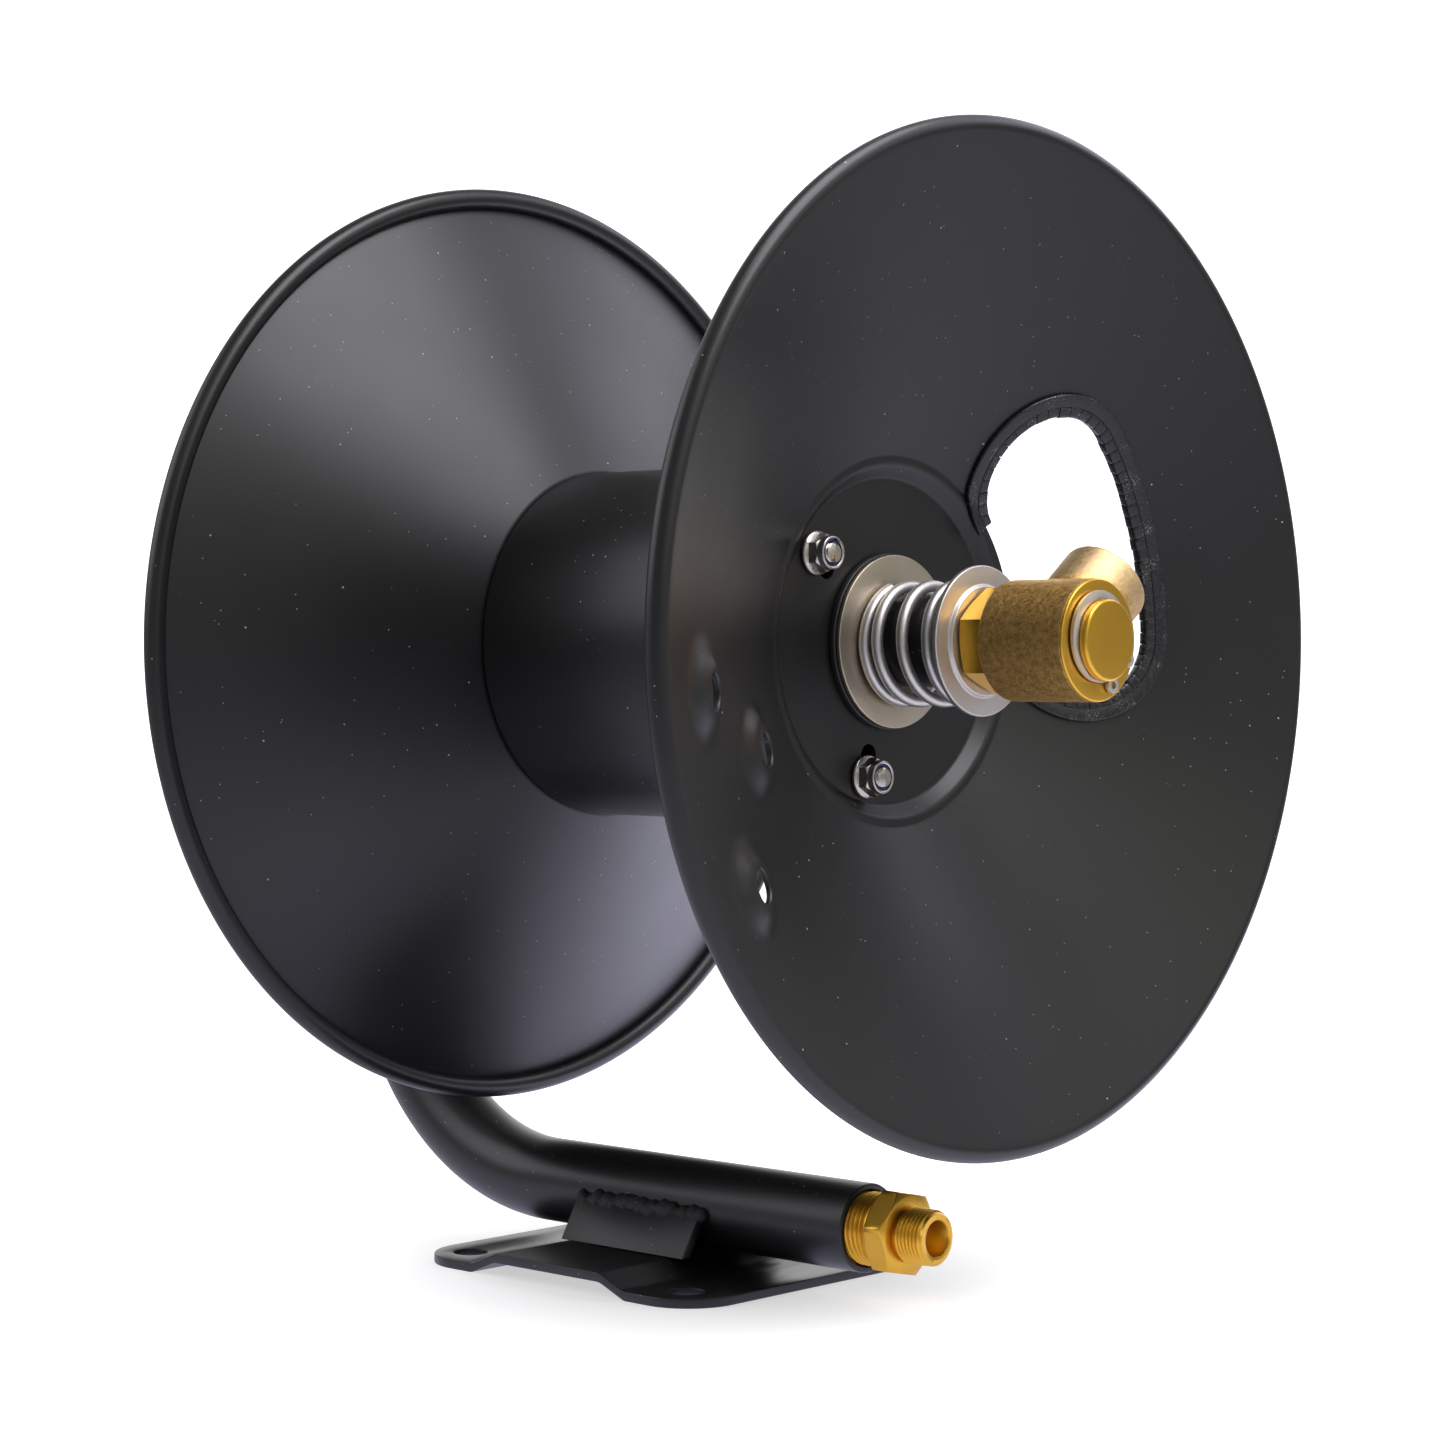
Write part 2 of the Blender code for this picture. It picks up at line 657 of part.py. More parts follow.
def make_hole_trim():
    """Push-on trim over the sides and outer edge of the hose hole."""
    inner_end = HUB_WALL_TOP_RADIUS + HUB_FILLET
    ring, corner, outer_end = flange_line(TRIM_REACH)[2:]
    line = filleted([(inner_end, ring[1]), corner, outer_end], TRIM_THICKNESS, FILLET_STEPS)
    mesh = turned_mesh("hose_hole_trim", sheet_outline(line, TRIM_THICKNESS), DISC_STEPS)
    trim = add_piece("hose_hole_trim", mesh, DRUM, BLACK_PLASTIC)
    outside = cone_cutter("trim_outside", kidney_outline(HOSE_HOLE_HALF_WIDTH + TRIM_LIP))
    boolean(trim, outside, "INTERSECT")
    inside = cone_cutter("trim_inside", kidney_outline(HOSE_HOLE_HALF_WIDTH - TRIM_BULB))
    boolean(trim, inside, "DIFFERENCE")
    past_end = flange_line(TRIM_REACH + SHEET)[-1]
    groove_corners = [(inner_end - SHEET, ring[1]), corner, past_end]
    groove_line = filleted(groove_corners, HUB_FILLET, FLANGE_FILLET_STEPS)
    groove = add_tool(
        "trim_groove",
        turned_mesh("trim_groove", sheet_outline(groove_line, SHEET + 2 * GAP), DISC_STEPS),
        DRUM,
    )
    floor = cone_cutter("groove_floor", kidney_outline(HOSE_HOLE_HALF_WIDTH - GAP))
    boolean(groove, floor, "DIFFERENCE")
    boolean(trim, groove, "DIFFERENCE")
    room = bar_mesh("trim_barrel_room", BARREL_RADIUS + GAP, 0, ring[1], DISC_STEPS)
    boolean(trim, add_tool("trim_barrel_room", room, DRUM), "DIFFERENCE")
    ends = [HOSE_HOLE_ANGLE + side * HOSE_HOLE_HALF_SWEEP for side in (-1, 1)]
    bare = [(0, 0), *[along_clock(HOSE_HOLE_MEAN_RADIUS, angle).xy for angle in ends]]
    boolean(trim, cone_cutter("trim_wedge", bare), "DIFFERENCE")


def make_bushes():
    """Flanged plastic bushes in both hubs."""
    for name, side in (("bush_left", -1), ("bush_right", 1)):
        seat = HUB_FLOOR_FACE + GAP
        profile = [
            (BUSH_BORE_RADIUS, BUSH_FLANGE_FACE),
            (BUSH_FLANGE_RADIUS, BUSH_FLANGE_FACE),
            (BUSH_FLANGE_RADIUS, seat),
            (BUSH_SLEEVE_RADIUS, seat),
            (BUSH_SLEEVE_RADIUS, BUSH_SLEEVE_START),
            (BUSH_BORE_RADIUS, BUSH_SLEEVE_START),
        ]
        mesh = turned_mesh(name, [(radius, side * along) for radius, along in profile], HUB_STEPS)
        add_piece(name, mesh, DRUM, BLACK_PLASTIC)


def nut_mesh():
    """A flanged lock nut seated at local z = 0, with a pocket for its nylon ring."""
    bore = STUD_RADIUS + GAP
    pocket = NUT_HEIGHT - INSERT_HEIGHT - 2 * GAP
    profile = [
        (NUT_POCKET_RADIUS, NUT_HEIGHT),
        (NUT_COLLAR_RADIUS, NUT_HEIGHT),
        (NUT_COLLAR_RADIUS, NUT_FLANGE_HEIGHT + NUT_FLANGE_SLOPE),
        (NUT_FLANGE_RADIUS, NUT_FLANGE_HEIGHT),
        (NUT_FLANGE_RADIUS, 0),
        (bore, 0),
        (bore, pocket),
        (NUT_POCKET_RADIUS, pocket),
    ]
    nut = bpy.data.objects.new("nut", turned_mesh("nut", profile, SMALL_STEPS))
    TOOLS.objects.link(nut)
    hexagon = hexagon_mesh("nut_hexagon", NUT_ACROSS_FLATS, GAP, NUT_HEX_HEIGHT)
    flats = add_tool("nut_hexagon", hexagon, None)
    hole_radius = (bore + NUT_POCKET_RADIUS) / 2
    middle = bar_mesh("nut_hexagon_hole", hole_radius, -GAP, NUT_HEIGHT, SMALL_STEPS)
    boolean(flats, add_tool("nut_hexagon_hole", middle, None), "DIFFERENCE")
    boolean(nut, flats, "UNION")
    return baked_mesh(nut)


def make_ties():
    """Three studs through the drum, each with a lock nut and its nylon ring at both ends."""
    nut = nut_mesh()
    nut.name = "tie_nut"
    ring_start = NUT_HEIGHT - INSERT_HEIGHT - GAP
    ring_radius = NUT_POCKET_RADIUS - GAP
    seat = HUB_FLOOR_FACE + GAP
    for i, angle in enumerate(TIE_ANGLES):
        place = along_clock(TIE_RADIUS, angle)
        stud = bar_mesh("tie_stud", STUD_RADIUS, -STUD_HALF_LENGTH, STUD_HALF_LENGTH, SMALL_STEPS)
        add_piece(f"tie_stud_{i + 1}", stud, DRUM, ZINC_STEEL).location = place
        for end, side in (("left", -1), ("right", 1)):
            ring = washer_mesh(
                "nut_insert",
                STUD_RADIUS + GAP,
                ring_radius,
                ring_start,
                ring_start + INSERT_HEIGHT,
                SMALL_STEPS,
            )
            for kind, mesh, finish in (
                ("tie_nut", nut.copy(), ZINC_STEEL),
                ("nut_insert", ring, BLUE_NYLON),
            ):
                piece = add_piece(f"{kind}_{end}_{i + 1}", mesh, DRUM, finish)
                piece.location = place + Vector((0, 0, side * seat))
                piece.rotation_euler = (0 if side > 0 else math.pi, 0, 0)


def make_axle_rings():
    """Thrust collar and washers that hold the drum along the axle."""
    bore = TUBE_RADIUS + GAP
    inner = BUSH_FLANGE_FACE + GAP
    add_piece(
        "hub_washer",
        washer_mesh("hub_washer", bore, HUB_WASHER_RADIUS, inner, HUB_WASHER_FACE),
        AXLE,
        BRIGHT_STEEL,
    )
    add_piece(
        "thrust_washer",
        washer_mesh("thrust_washer", bore, HUB_WASHER_RADIUS, -HUB_WASHER_FACE, -inner),
        AXLE,
        BRIGHT_STEEL,
    )
    face = HUB_WASHER_FACE + GAP
    add_piece(
        "thrust_collar",
        washer_mesh("thrust_collar", bore, COLLAR_RADIUS, -face - COLLAR_LENGTH, -face),
        AXLE,
        BLACK_PAINT,
    )
    bore = STEM_SPIGOT_RADIUS + GAP
    back = CUP_FACE - CUP_THICKNESS
    wall = CUP_STEP_RADIUS - CUP_THICKNESS
    profile = [
        (bore, CUP_FACE + CUP_STEP),
        (CUP_STEP_RADIUS - CUP_STEP / 2, CUP_FACE + CUP_STEP),
        (CUP_STEP_RADIUS, CUP_FACE),
        (CUP_RADIUS - CUP_EDGE, CUP_FACE),
        (CUP_RADIUS, CUP_FACE - CUP_EDGE),
        (CUP_RADIUS, back),
        (wall, back),
        (wall - CUP_STEP / 2, back + CUP_STEP),
        (bore, back + CUP_STEP),
    ]
    add_piece("cup_washer", turned_mesh("cup_washer", profile, HUB_STEPS), AXLE, BRIGHT_STEEL)


def spring_rise(turn):
    """How far along the axle the spring's wire has come after some turns."""
    for (turn_a, rise_a), (turn_b, rise_b) in zip(SPRING_RISE, SPRING_RISE[1:]):
        if turn <= turn_b:
            return rise_a + (rise_b - rise_a) * (turn - turn_a) / (turn_b - turn_a)
    return SPRING_RISE[-1][1]


def spring_points():
    """Centre line of the drag spring: a closed turn, the open turns, a closed turn."""
    start = HUB_WASHER_FACE + GAP + SPRING_WIRE_RADIUS
    sag = Vector((0, -SPRING_SAG, 0))
    points = []
    for i in range(round(SPRING_RISE[-1][0] * SPRING_POINTS_PER_TURN) + 1):
        turn = i / SPRING_POINTS_PER_TURN
        angle = SPRING_START_ANGLE + turn * math.tau
        points.append(along_clock(SPRING_MEAN_RADIUS, angle, start + spring_rise(turn)) + sag)
    return points


def least_gap(points, apart, diameter):
    """Smallest clear distance between a wire's points that are some steps apart."""
    distances = [
        (points[i] - points[j]).length
        for i in range(len(points))
        for j in range(i + apart, len(points))
    ]
    return min(distances) - diameter


def make_spring():
    """The drag spring, one unbroken wire."""
    points = spring_points()
    gap = least_gap(points, SPRING_POINTS_PER_TURN // 2, 2 * SPRING_WIRE_RADIUS)
    print(f"drag_spring: least gap to itself {gap * 1000:.2f} mm")
    mesh = tube_mesh("drag_spring", points, SPRING_WIRE_RADIUS, SPRING_BEVEL)
    add_piece("drag_spring", mesh, AXLE, BRIGHT_STEEL)


def make_stem():
    """The fixed brass stem: spigot in the axle, hexagon, journal, blind bore and ports."""
    groove_end = RING_ALONG + RING_THICKNESS + GAP
    groove_start = RING_ALONG - GAP
    profile = [
        (0, STEM_END),
        (STEM_RADIUS - STEM_CHAMFER, STEM_END),
        (STEM_RADIUS, STEM_END - STEM_CHAMFER),
        (STEM_RADIUS, groove_end),
        (RING_GROOVE_RADIUS, groove_end),
        (RING_GROOVE_RADIUS, groove_start),
        (STEM_RADIUS, groove_start),
        (STEM_RADIUS, (STEM_HEX_START + STEM_HEX_END) / 2),
        (STEM_SPIGOT_RADIUS, (STEM_HEX_START + STEM_HEX_END) / 2),
        (STEM_SPIGOT_RADIUS, STEM_SPIGOT_START),
        (0, STEM_SPIGOT_START),
    ]
    stem = add_piece("swivel_stem", turned_mesh("swivel_stem", profile, FINE_STEPS), AXLE, TURNED_BRASS)
    hexagon = hexagon_mesh(
        "stem_hexagon", STEM_HEX_ACROSS_FLATS, STEM_HEX_START, STEM_HEX_END, STEM_HEX_ANGLE
    )
    boolean(stem, add_tool("stem_hexagon", hexagon, AXLE), "UNION")
    start = STEM_SPIGOT_START - STEM_RADIUS
    bore = bar_mesh("stem_bore", STEM_BORE_RADIUS, start, STEM_BORE_END, SMALL_STEPS)
    boolean(stem, add_tool("stem_bore", bore, AXLE), "DIFFERENCE")
    across = Matrix.Translation((0, 0, OUTLET_ALONG)) @ Matrix.Rotation(math.pi / 2, 4, "Y")
    reach = STEM_RADIUS * 2
    for name, turn in (("stem_port_up", OUTLET_ANGLE), ("stem_port_down", OUTLET_ANGLE + math.pi / 2)):
        place = Matrix.Rotation(turn, 4, "Z") @ across
        port = bar_mesh(name, STEM_PORT_RADIUS, -reach, reach, EYE_STEPS, [place])
        boolean(stem, add_tool(name, port, AXLE), "DIFFERENCE")


def make_snap_ring():
    """The open ring that keeps the swivel body on its stem, widest across from its two eyes."""
    first = RING_GAP_ANGLE + RING_GAP_HALF_ANGLE
    last = RING_GAP_ANGLE + math.tau - RING_GAP_HALF_ANGLE
    centre = along_clock(-RING_OFFSET, RING_GAP_ANGLE)
    outline = arc(centre[:2], RING_RADIUS, first, last, FINE_STEPS)
    outline += arc((0, 0), RING_BORE_RADIUS, last, first, FINE_STEPS)
    half = RING_THICKNESS / 2
    ring = add_piece("snap_ring", prism_mesh("snap_ring", outline, half), AXLE, BRIGHT_STEEL)
    ring.location = (0, 0, RING_ALONG + half)
    ears = [
        Matrix.Translation(along_clock(RING_EAR_PLACE, RING_GAP_ANGLE + side * RING_EAR_ANGLE))
        for side in (-1, 1)
    ]
    ear = bar_mesh("ring_ears", RING_EAR_RADIUS, -half, half, SMALL_STEPS, ears)
    hole = bar_mesh("ring_eyes", RING_EAR_HOLE, -2 * half, 2 * half, EYE_STEPS, ears)
    for name, mesh, operation in (("ring_ears", ear, "UNION"), ("ring_eyes", hole, "DIFFERENCE")):
        tool = add_tool(name, mesh, AXLE)
        tool.location = ring.location
        boolean(ring, tool, operation)


def make_swivel():
    """The cast body that turns on the stem, its side outlet and its two seals."""
    profile = [
        (0, BODY_END),
        (BODY_RADIUS - BODY_EDGE, BODY_END),
        (BODY_RADIUS, BODY_END - BODY_EDGE),
        (BODY_RADIUS, BODY_START + BODY_EDGE),
        (BODY_RADIUS - BODY_EDGE, BODY_START),
        (0, BODY_START),
    ]
    body = add_piece("swivel_body", turned_mesh("swivel_body", profile, HUB_STEPS), SWIVEL, CAST_BRASS)
    outlet = (
        Matrix.Translation((0, 0, OUTLET_ALONG))
        @ Matrix.Rotation(OUTLET_ANGLE, 4, "Z")
        @ Matrix.Rotation(math.pi / 2, 4, "Y")
    )
    boss = bar_mesh("outlet_boss", OUTLET_RADIUS, 0, OUTLET_REACH, FINE_STEPS, [outlet])
    boolean(body, add_tool("outlet_boss", boss, SWIVEL), "UNION")
    lands = [(along, SEAL_GROOVE_HALF_LENGTH, SEAL_GROOVE_RADIUS) for along in SEAL_PLACES.values()]
    lands.insert(1, (OUTLET_ALONG, GALLERY_HALF_LENGTH, GALLERY_RADIUS))
    inside = [(0, BODY_START - BODY_EDGE), (BODY_BORE_RADIUS, BODY_START - BODY_EDGE)]
    for along, half, radius in lands:
        inside += [(BODY_BORE_RADIUS, along - half), (radius, along - half)]
        inside += [(radius, along + half), (BODY_BORE_RADIUS, along + half)]
    inside += [(BODY_BORE_RADIUS, BODY_END + BODY_EDGE), (0, BODY_END + BODY_EDGE)]
    bore = turned_mesh("body_bore", inside, HUB_STEPS)
    boolean(body, add_tool("body_bore", bore, SWIVEL), "DIFFERENCE")
    socket_start = OUTLET_REACH - OUTLET_SOCKET_DEPTH
    socket_end = OUTLET_REACH + BODY_EDGE
    for name, radius, start, end in (
        ("outlet_socket", OUTLET_SOCKET_RADIUS, socket_start, socket_end),
        ("outlet_port", OUTLET_PORT_RADIUS, BODY_BORE_RADIUS, socket_end),
    ):
        mesh = bar_mesh(name, radius, start, end, SMALL_STEPS, [outlet])
        boolean(body, add_tool(name, mesh, SWIVEL), "DIFFERENCE")
    for name, along in SEAL_PLACES.items():
        centre = (SEAL_MEAN_RADIUS, along)
        section = arc(centre, SEAL_SECTION_RADIUS, 0, math.tau, SEAL_SECTION_STEPS)[:-1]
        add_piece(name, turned_mesh(name, section, FINE_STEPS), SWIVEL, SEAL_RUBBER)


def make_inlet():
    """The brass nipple screwed into the lower run."""
    step = (INLET_HEX_START + INLET_HEX_END) / 2
    profile = [
        (0, INLET_END),
        (INLET_THREAD_RADIUS - INLET_CHAMFER, INLET_END),
        (INLET_THREAD_RADIUS, INLET_END - INLET_CHAMFER),
        (INLET_THREAD_RADIUS, step),
        (INLET_SPIGOT_RADIUS, step),
        (INLET_SPIGOT_RADIUS, INLET_SPIGOT_START),
        (0, INLET_SPIGOT_START),
    ]
    mesh = turned_mesh("inlet_fitting", profile, FINE_STEPS)
    inlet = add_piece("inlet_fitting", mesh, INLET, TURNED_BRASS)
    hexagon = hexagon_mesh(
        "inlet_hexagon", INLET_HEX_ACROSS_FLATS, INLET_HEX_START, INLET_HEX_END, INLET_HEX_ANGLE
    )
    boolean(inlet, add_tool("inlet_hexagon", hexagon, INLET), "UNION")
    past = INLET_CHAMFER * 2
    bore = bar_mesh(
        "inlet_bore", INLET_BORE_RADIUS, INLET_SPIGOT_START - past, INLET_END + past, FINE_STEPS
    )
    boolean(inlet, add_tool("inlet_bore", bore, INLET), "DIFFERENCE")


clear_scene()
PIECES = new_collection(OBJECT_NAME)
TOOLS = new_collection(f"{OBJECT_NAME}_cutters")
FRAME = add_datum("frame_datum", DRUM_X, AXIS_HEIGHT)
PLATE = add_datum("plate_datum", DRUM_X + PLATE_CENTRE, 0)
INLET = add_datum("inlet_axis", DRUM_X, AXIS_HEIGHT - LOWER_RUN_DROP, AXLE_TURN)
AXLE = add_datum("axle_axis", DRUM_X, AXIS_HEIGHT, AXLE_TURN)
DRUM = add_datum("drum_axis", DRUM_X, AXIS_HEIGHT, AXLE_TURN)
SWIVEL = add_datum("swivel_axis", DRUM_X, AXIS_HEIGHT, AXLE_TURN)

make_foot_plate()
make_saddles()
make_frame_tube()
make_inlet()
make_axle_rings()
make_spring()
make_stem()
make_snap_ring()
make_flanges()
make_barrel()
make_hole_trim()
make_bushes()
make_ties()
make_swivel()
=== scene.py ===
"""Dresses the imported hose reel: fine meshes, finishes, floor, light and camera.

Metres, +Z up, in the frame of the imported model. Turned pieces are made about a local Z that runs
along the axle, from the middle of the drum towards the swivel. Clock angles run from +Y to +Z.
"""

import json
import logging
import math
from collections.abc import Callable, Iterable, Sequence
from dataclasses import dataclass, field
from enum import Enum

import bmesh
import bpy
from bpy.types import ID, Material, Mesh, Node, NodeSocket, NodeTree, Object
from mathutils import Matrix, Vector


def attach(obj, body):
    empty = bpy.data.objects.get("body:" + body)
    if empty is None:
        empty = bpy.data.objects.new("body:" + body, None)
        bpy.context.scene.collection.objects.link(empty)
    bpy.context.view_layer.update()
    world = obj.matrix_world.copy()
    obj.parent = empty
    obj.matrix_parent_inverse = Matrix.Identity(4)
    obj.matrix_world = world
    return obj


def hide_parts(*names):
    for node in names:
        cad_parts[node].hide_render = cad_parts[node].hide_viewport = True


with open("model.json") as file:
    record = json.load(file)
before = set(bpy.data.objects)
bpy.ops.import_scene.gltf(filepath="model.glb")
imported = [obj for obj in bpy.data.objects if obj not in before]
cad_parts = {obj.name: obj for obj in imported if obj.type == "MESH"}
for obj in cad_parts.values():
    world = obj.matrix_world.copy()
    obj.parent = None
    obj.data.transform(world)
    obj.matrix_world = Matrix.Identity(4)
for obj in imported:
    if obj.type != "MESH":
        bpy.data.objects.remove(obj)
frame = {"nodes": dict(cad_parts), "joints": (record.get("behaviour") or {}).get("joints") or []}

LOG = logging.getLogger("hose_reel")
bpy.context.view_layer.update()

MERGE_DISTANCE = 1e-6
SHARP_ANGLE = math.radians(38)
QUARTER = math.pi / 2
CLEARANCE = 0.0003
UNIT = (0.0, 1.0)
NOISE_SPAN = (0.3, 0.7)
THREAD_SLOPE = 1.35
THREAD_CREST = 0.20

Colour = tuple[float, float, float]
Point = tuple[float, float]
Place = tuple[float, float, float]
Number = NodeSocket | float
Inputs = dict[str | int, object]


class Body(Enum):
    """The bodies that pieces ride on."""

    FRAME = "frame"
    DRUM = "drum"
    SWIVEL = "swivel"


class Side(Enum):
    """The two ends of the drum."""

    LEFT = -1
    RIGHT = 1

    @property
    def label(self) -> str:
        """The end's name as the nodes spell it."""
        return self.name.lower()


class Join(Enum):
    """Ways to combine two closed meshes."""

    CUT = "DIFFERENCE"
    ADD = "UNION"
    KEEP = "INTERSECT"


@dataclass(frozen=True)
class Axis:
    """A line along +X that turned pieces are made about."""

    x: float
    y: float
    z: float

    @property
    def placing(self) -> Matrix:
        """Matrix from turning coordinates to the frame of the model."""
        turn = Matrix(((0, 0, 1), (1, 0, 0), (0, 1, 0))).to_4x4()
        return Matrix.Translation((self.x, self.y, self.z)) @ turn


def joint_axis(name: str) -> Axis:
    """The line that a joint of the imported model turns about."""
    row = next(row for row in frame["joints"] if row["name"] == name)
    return Axis(*row["pos_m"])


AXLE = joint_axis("drum_spin")


class Nodes:
    """A node tree that is written a node at a time."""

    def __init__(self, tree: NodeTree) -> None:
        """Takes the tree to write in."""
        self.tree = tree

    def link(self, source: NodeSocket, target: NodeSocket) -> None:
        """Joins two sockets."""
        self.tree.links.new(source, target)

    def node(self, kind: str, inputs: Inputs | None = None, **settings: object) -> Node:
        """Adds a node.

        Args:
            kind: The node's type.
            inputs: Sockets or constants for its inputs, by name or place.
            settings: The node's properties.

        Returns:
            The node.
        """
        made = self.tree.nodes.new(kind)
        for name, value in settings.items():
            setattr(made, name, value)
        for key, value in (inputs or {}).items():
            if isinstance(value, NodeSocket):
                self.link(value, made.inputs[key])
            else:
                made.inputs[key].default_value = value
        return made

    def out(self, kind: str, inputs: Inputs | None = None, **settings: object) -> NodeSocket:
        """Adds a node and gives its first output."""
        return self.node(kind, inputs, **settings).outputs[0]

    def math(self, operation: str, *values: Number) -> NodeSocket:
        """A sum, product or other function of values."""
        return self.out("ShaderNodeMath", dict(enumerate(values)), operation=operation)

    def vector_math(self, operation: str, *values: object) -> Node:
        """A function of vectors."""
        return self.node("ShaderNodeVectorMath", dict(enumerate(values)), operation=operation)

    def remap(self, value: NodeSocket, span: Point, to: Point, **settings: object) -> NodeSocket:
        """A value moved from one range to another and clamped there."""
        limits = dict(zip(("From Min", "From Max", "To Min", "To Max"), (*span, *to)))
        return self.out("ShaderNodeMapRange", {"Value": value, **limits}, **settings)


class Shader(Nodes):
    """The node tree of one material."""

    def __init__(self, name: str) -> None:
        """Starts a material with a Principled surface."""
        self.material = bpy.data.materials.new(name)
        self.material.use_nodes = True
        super().__init__(self.material.node_tree)
        self.surface = self.tree.nodes["Principled BSDF"]

    def coordinates(self, centre: Sequence[float] = (0, 0, 0)) -> NodeSocket:
        """Object coordinates measured from a point."""
        place = self.node("ShaderNodeTexCoord").outputs["Object"]
        return self.vector_math("SUBTRACT", place, centre).outputs[0]

    def noise(self, vector: NodeSocket, scale: float, detail: float = 2.0) -> NodeSocket:
        """A noise value between 0 and 1, with a scale in waves in a metre."""
        inputs = {"Vector": vector, "Scale": scale, "Detail": detail}
        return self.out("ShaderNodeTexNoise", inputs)

    def distance(self, vector: NodeSocket, weights: Sequence[float] = (1, 1, 1)) -> NodeSocket:
        """Distance from the origin, with a weight for each axis."""
        scaled = self.vector_math("MULTIPLY", vector, weights).outputs[0]
        return self.vector_math("LENGTH", scaled).outputs["Value"]

    def tool_rings(self, vector: NodeSocket, scale: float) -> NodeSocket:
        """Uneven rings round the X axis and along it, as many in a metre as the scale."""
        along = self.out("ShaderNodeSeparateXYZ", {0: vector})
        place = self.math("ADD", self.distance(vector, (0, 1, 1)), along)
        return self.out("ShaderNodeTexNoise", {"Scale": scale, "W": place}, noise_dimensions="1D")

    def specks(self, vector: NodeSocket, cell: float, radius: float, share: float) -> NodeSocket:
        """Sparse round dots: 1 inside a dot, 0 elsewhere.

        Args:
            vector: Coordinates.
            cell: Mean distance between places for a dot.
            radius: Radius of a dot.
            share: Share of the places that have one.

        Returns:
            The mask socket.
        """
        cells = self.node("ShaderNodeTexVoronoi", {"Vector": vector, "Scale": 1 / cell})
        inside = self.remap(cells.outputs["Distance"], (radius / cell, radius / cell * 0.6), UNIT)
        drawn = self.out("ShaderNodeSeparateColor", {"Color": cells.outputs["Color"]})
        return self.math("MULTIPLY", inside, self.math("LESS_THAN", drawn, share))

    def blend(self, factor: NodeSocket, first: Colour | NodeSocket, second: Colour) -> NodeSocket:
        """A colour between two others; a factor of 0 gives the first."""
        start = first if isinstance(first, NodeSocket) else (*first, 1.0)
        inputs = {0: factor, 6: start, 7: (*second, 1.0)}
        return self.node("ShaderNodeMix", inputs, data_type="RGBA").outputs[2]

    def bump(self, height: NodeSocket, depth: float, under: NodeSocket | None = None) -> NodeSocket:
        """Surface relief from a height between 0 and 1, on another relief where there is one."""
        inputs = {"Distance": depth, "Height": height}
        if under is not None:
            inputs["Normal"] = under
        return self.out("ShaderNodeBump", inputs)

    def close(
        self, colour: NodeSocket, roughness: NodeSocket, normal: NodeSocket, metallic: float
    ) -> Material:
        """Joins the pattern to the surface; metallic is 1 for bare metal."""
        for name, socket in (("Base Color", colour), ("Roughness", roughness), ("Normal", normal)):
            self.link(socket, self.surface.inputs[name])
        self.surface.inputs["Metallic"].default_value = metallic
        return self.material


@dataclass(frozen=True)
class PowderCoat:
    """Black satin powder coat with fine pale dust on it."""

    name: str = "black_paint"
    deep: Colour = (0.0035, 0.0035, 0.0039)
    pale: Colour = (0.0060, 0.0060, 0.0062)
    dust: Colour = (0.42, 0.41, 0.40)
    roughness: Point = (0.34, 0.42)
    cloud_waves: float = 14.0
    specks: tuple[Place, ...] = ((0.0027, 0.00021, 0.30), (0.0062, 0.00033, 0.30))
    peel_waves: float = 900.0
    peel_depth: float = 0.000012

    def material(self) -> Material:
        """Builds the material."""
        shader = Shader(self.name)
        place = shader.coordinates()
        cloud = shader.noise(place, self.cloud_waves, 3.0)
        colour = shader.blend(cloud, self.deep, self.pale)
        for speck in self.specks:
            colour = shader.blend(shader.specks(place, *speck), colour, self.dust)
        roughness = shader.remap(cloud, NOISE_SPAN, self.roughness)
        peel = shader.bump(shader.noise(place, self.peel_waves), self.peel_depth)
        return shader.close(colour, roughness, peel, 0.0)


@dataclass(frozen=True)
class MouldedPlastic:
    """Plain moulded black plastic, or a dyed one."""

    name: str
    deep: Colour
    pale: Colour
    roughness: Point
    cloud_waves: float = 60.0
    grain_waves: float = 1500.0
    grain_depth: float = 0.00001

    def material(self) -> Material:
        """Builds the material."""
        shader = Shader(self.name)
        place = shader.coordinates()
        cloud = shader.noise(place, self.cloud_waves, 4.0)
        colour = shader.blend(cloud, self.deep, self.pale)
        roughness = shader.remap(cloud, NOISE_SPAN, self.roughness)
        grain = shader.bump(shader.noise(place, self.grain_waves), self.grain_depth)
        return shader.close(colour, roughness, grain, 0.0)


@dataclass(frozen=True)
class SlitTrimRubber:
    """Glossy black trim, scuffed pale where it was bent and cut."""

    name: str = "black_plastic_trim"
    deep: Colour = (0.006, 0.006, 0.007)
    pale: Colour = (0.016, 0.016, 0.018)
    scuff: Colour = (0.24, 0.24, 0.25)
    fine_waves: float = 900.0
    patch_waves: float = 160.0
    scratch_waves: float = 2100.0
    relief_depth: float = 0.00010

    def material(self) -> Material:
        """Builds the material."""
        shader = Shader(self.name)
        place = shader.coordinates()
        fine = shader.noise(place, self.fine_waves, 5.0)
        colour = shader.blend(fine, self.deep, self.pale)
        patch = shader.remap(shader.noise(place, self.patch_waves, 3.0), (0.52, 0.68), UNIT)
        scratch = shader.remap(shader.noise(place, self.scratch_waves, 2.0), (0.57, 0.65), UNIT)
        colour = shader.blend(shader.math("MULTIPLY", patch, scratch), colour, self.scuff)
        roughness = shader.remap(fine, (0.35, 0.65), (0.20, 0.40))
        relief = shader.bump(fine, self.relief_depth)
        return shader.close(colour, roughness, relief, 0.0)


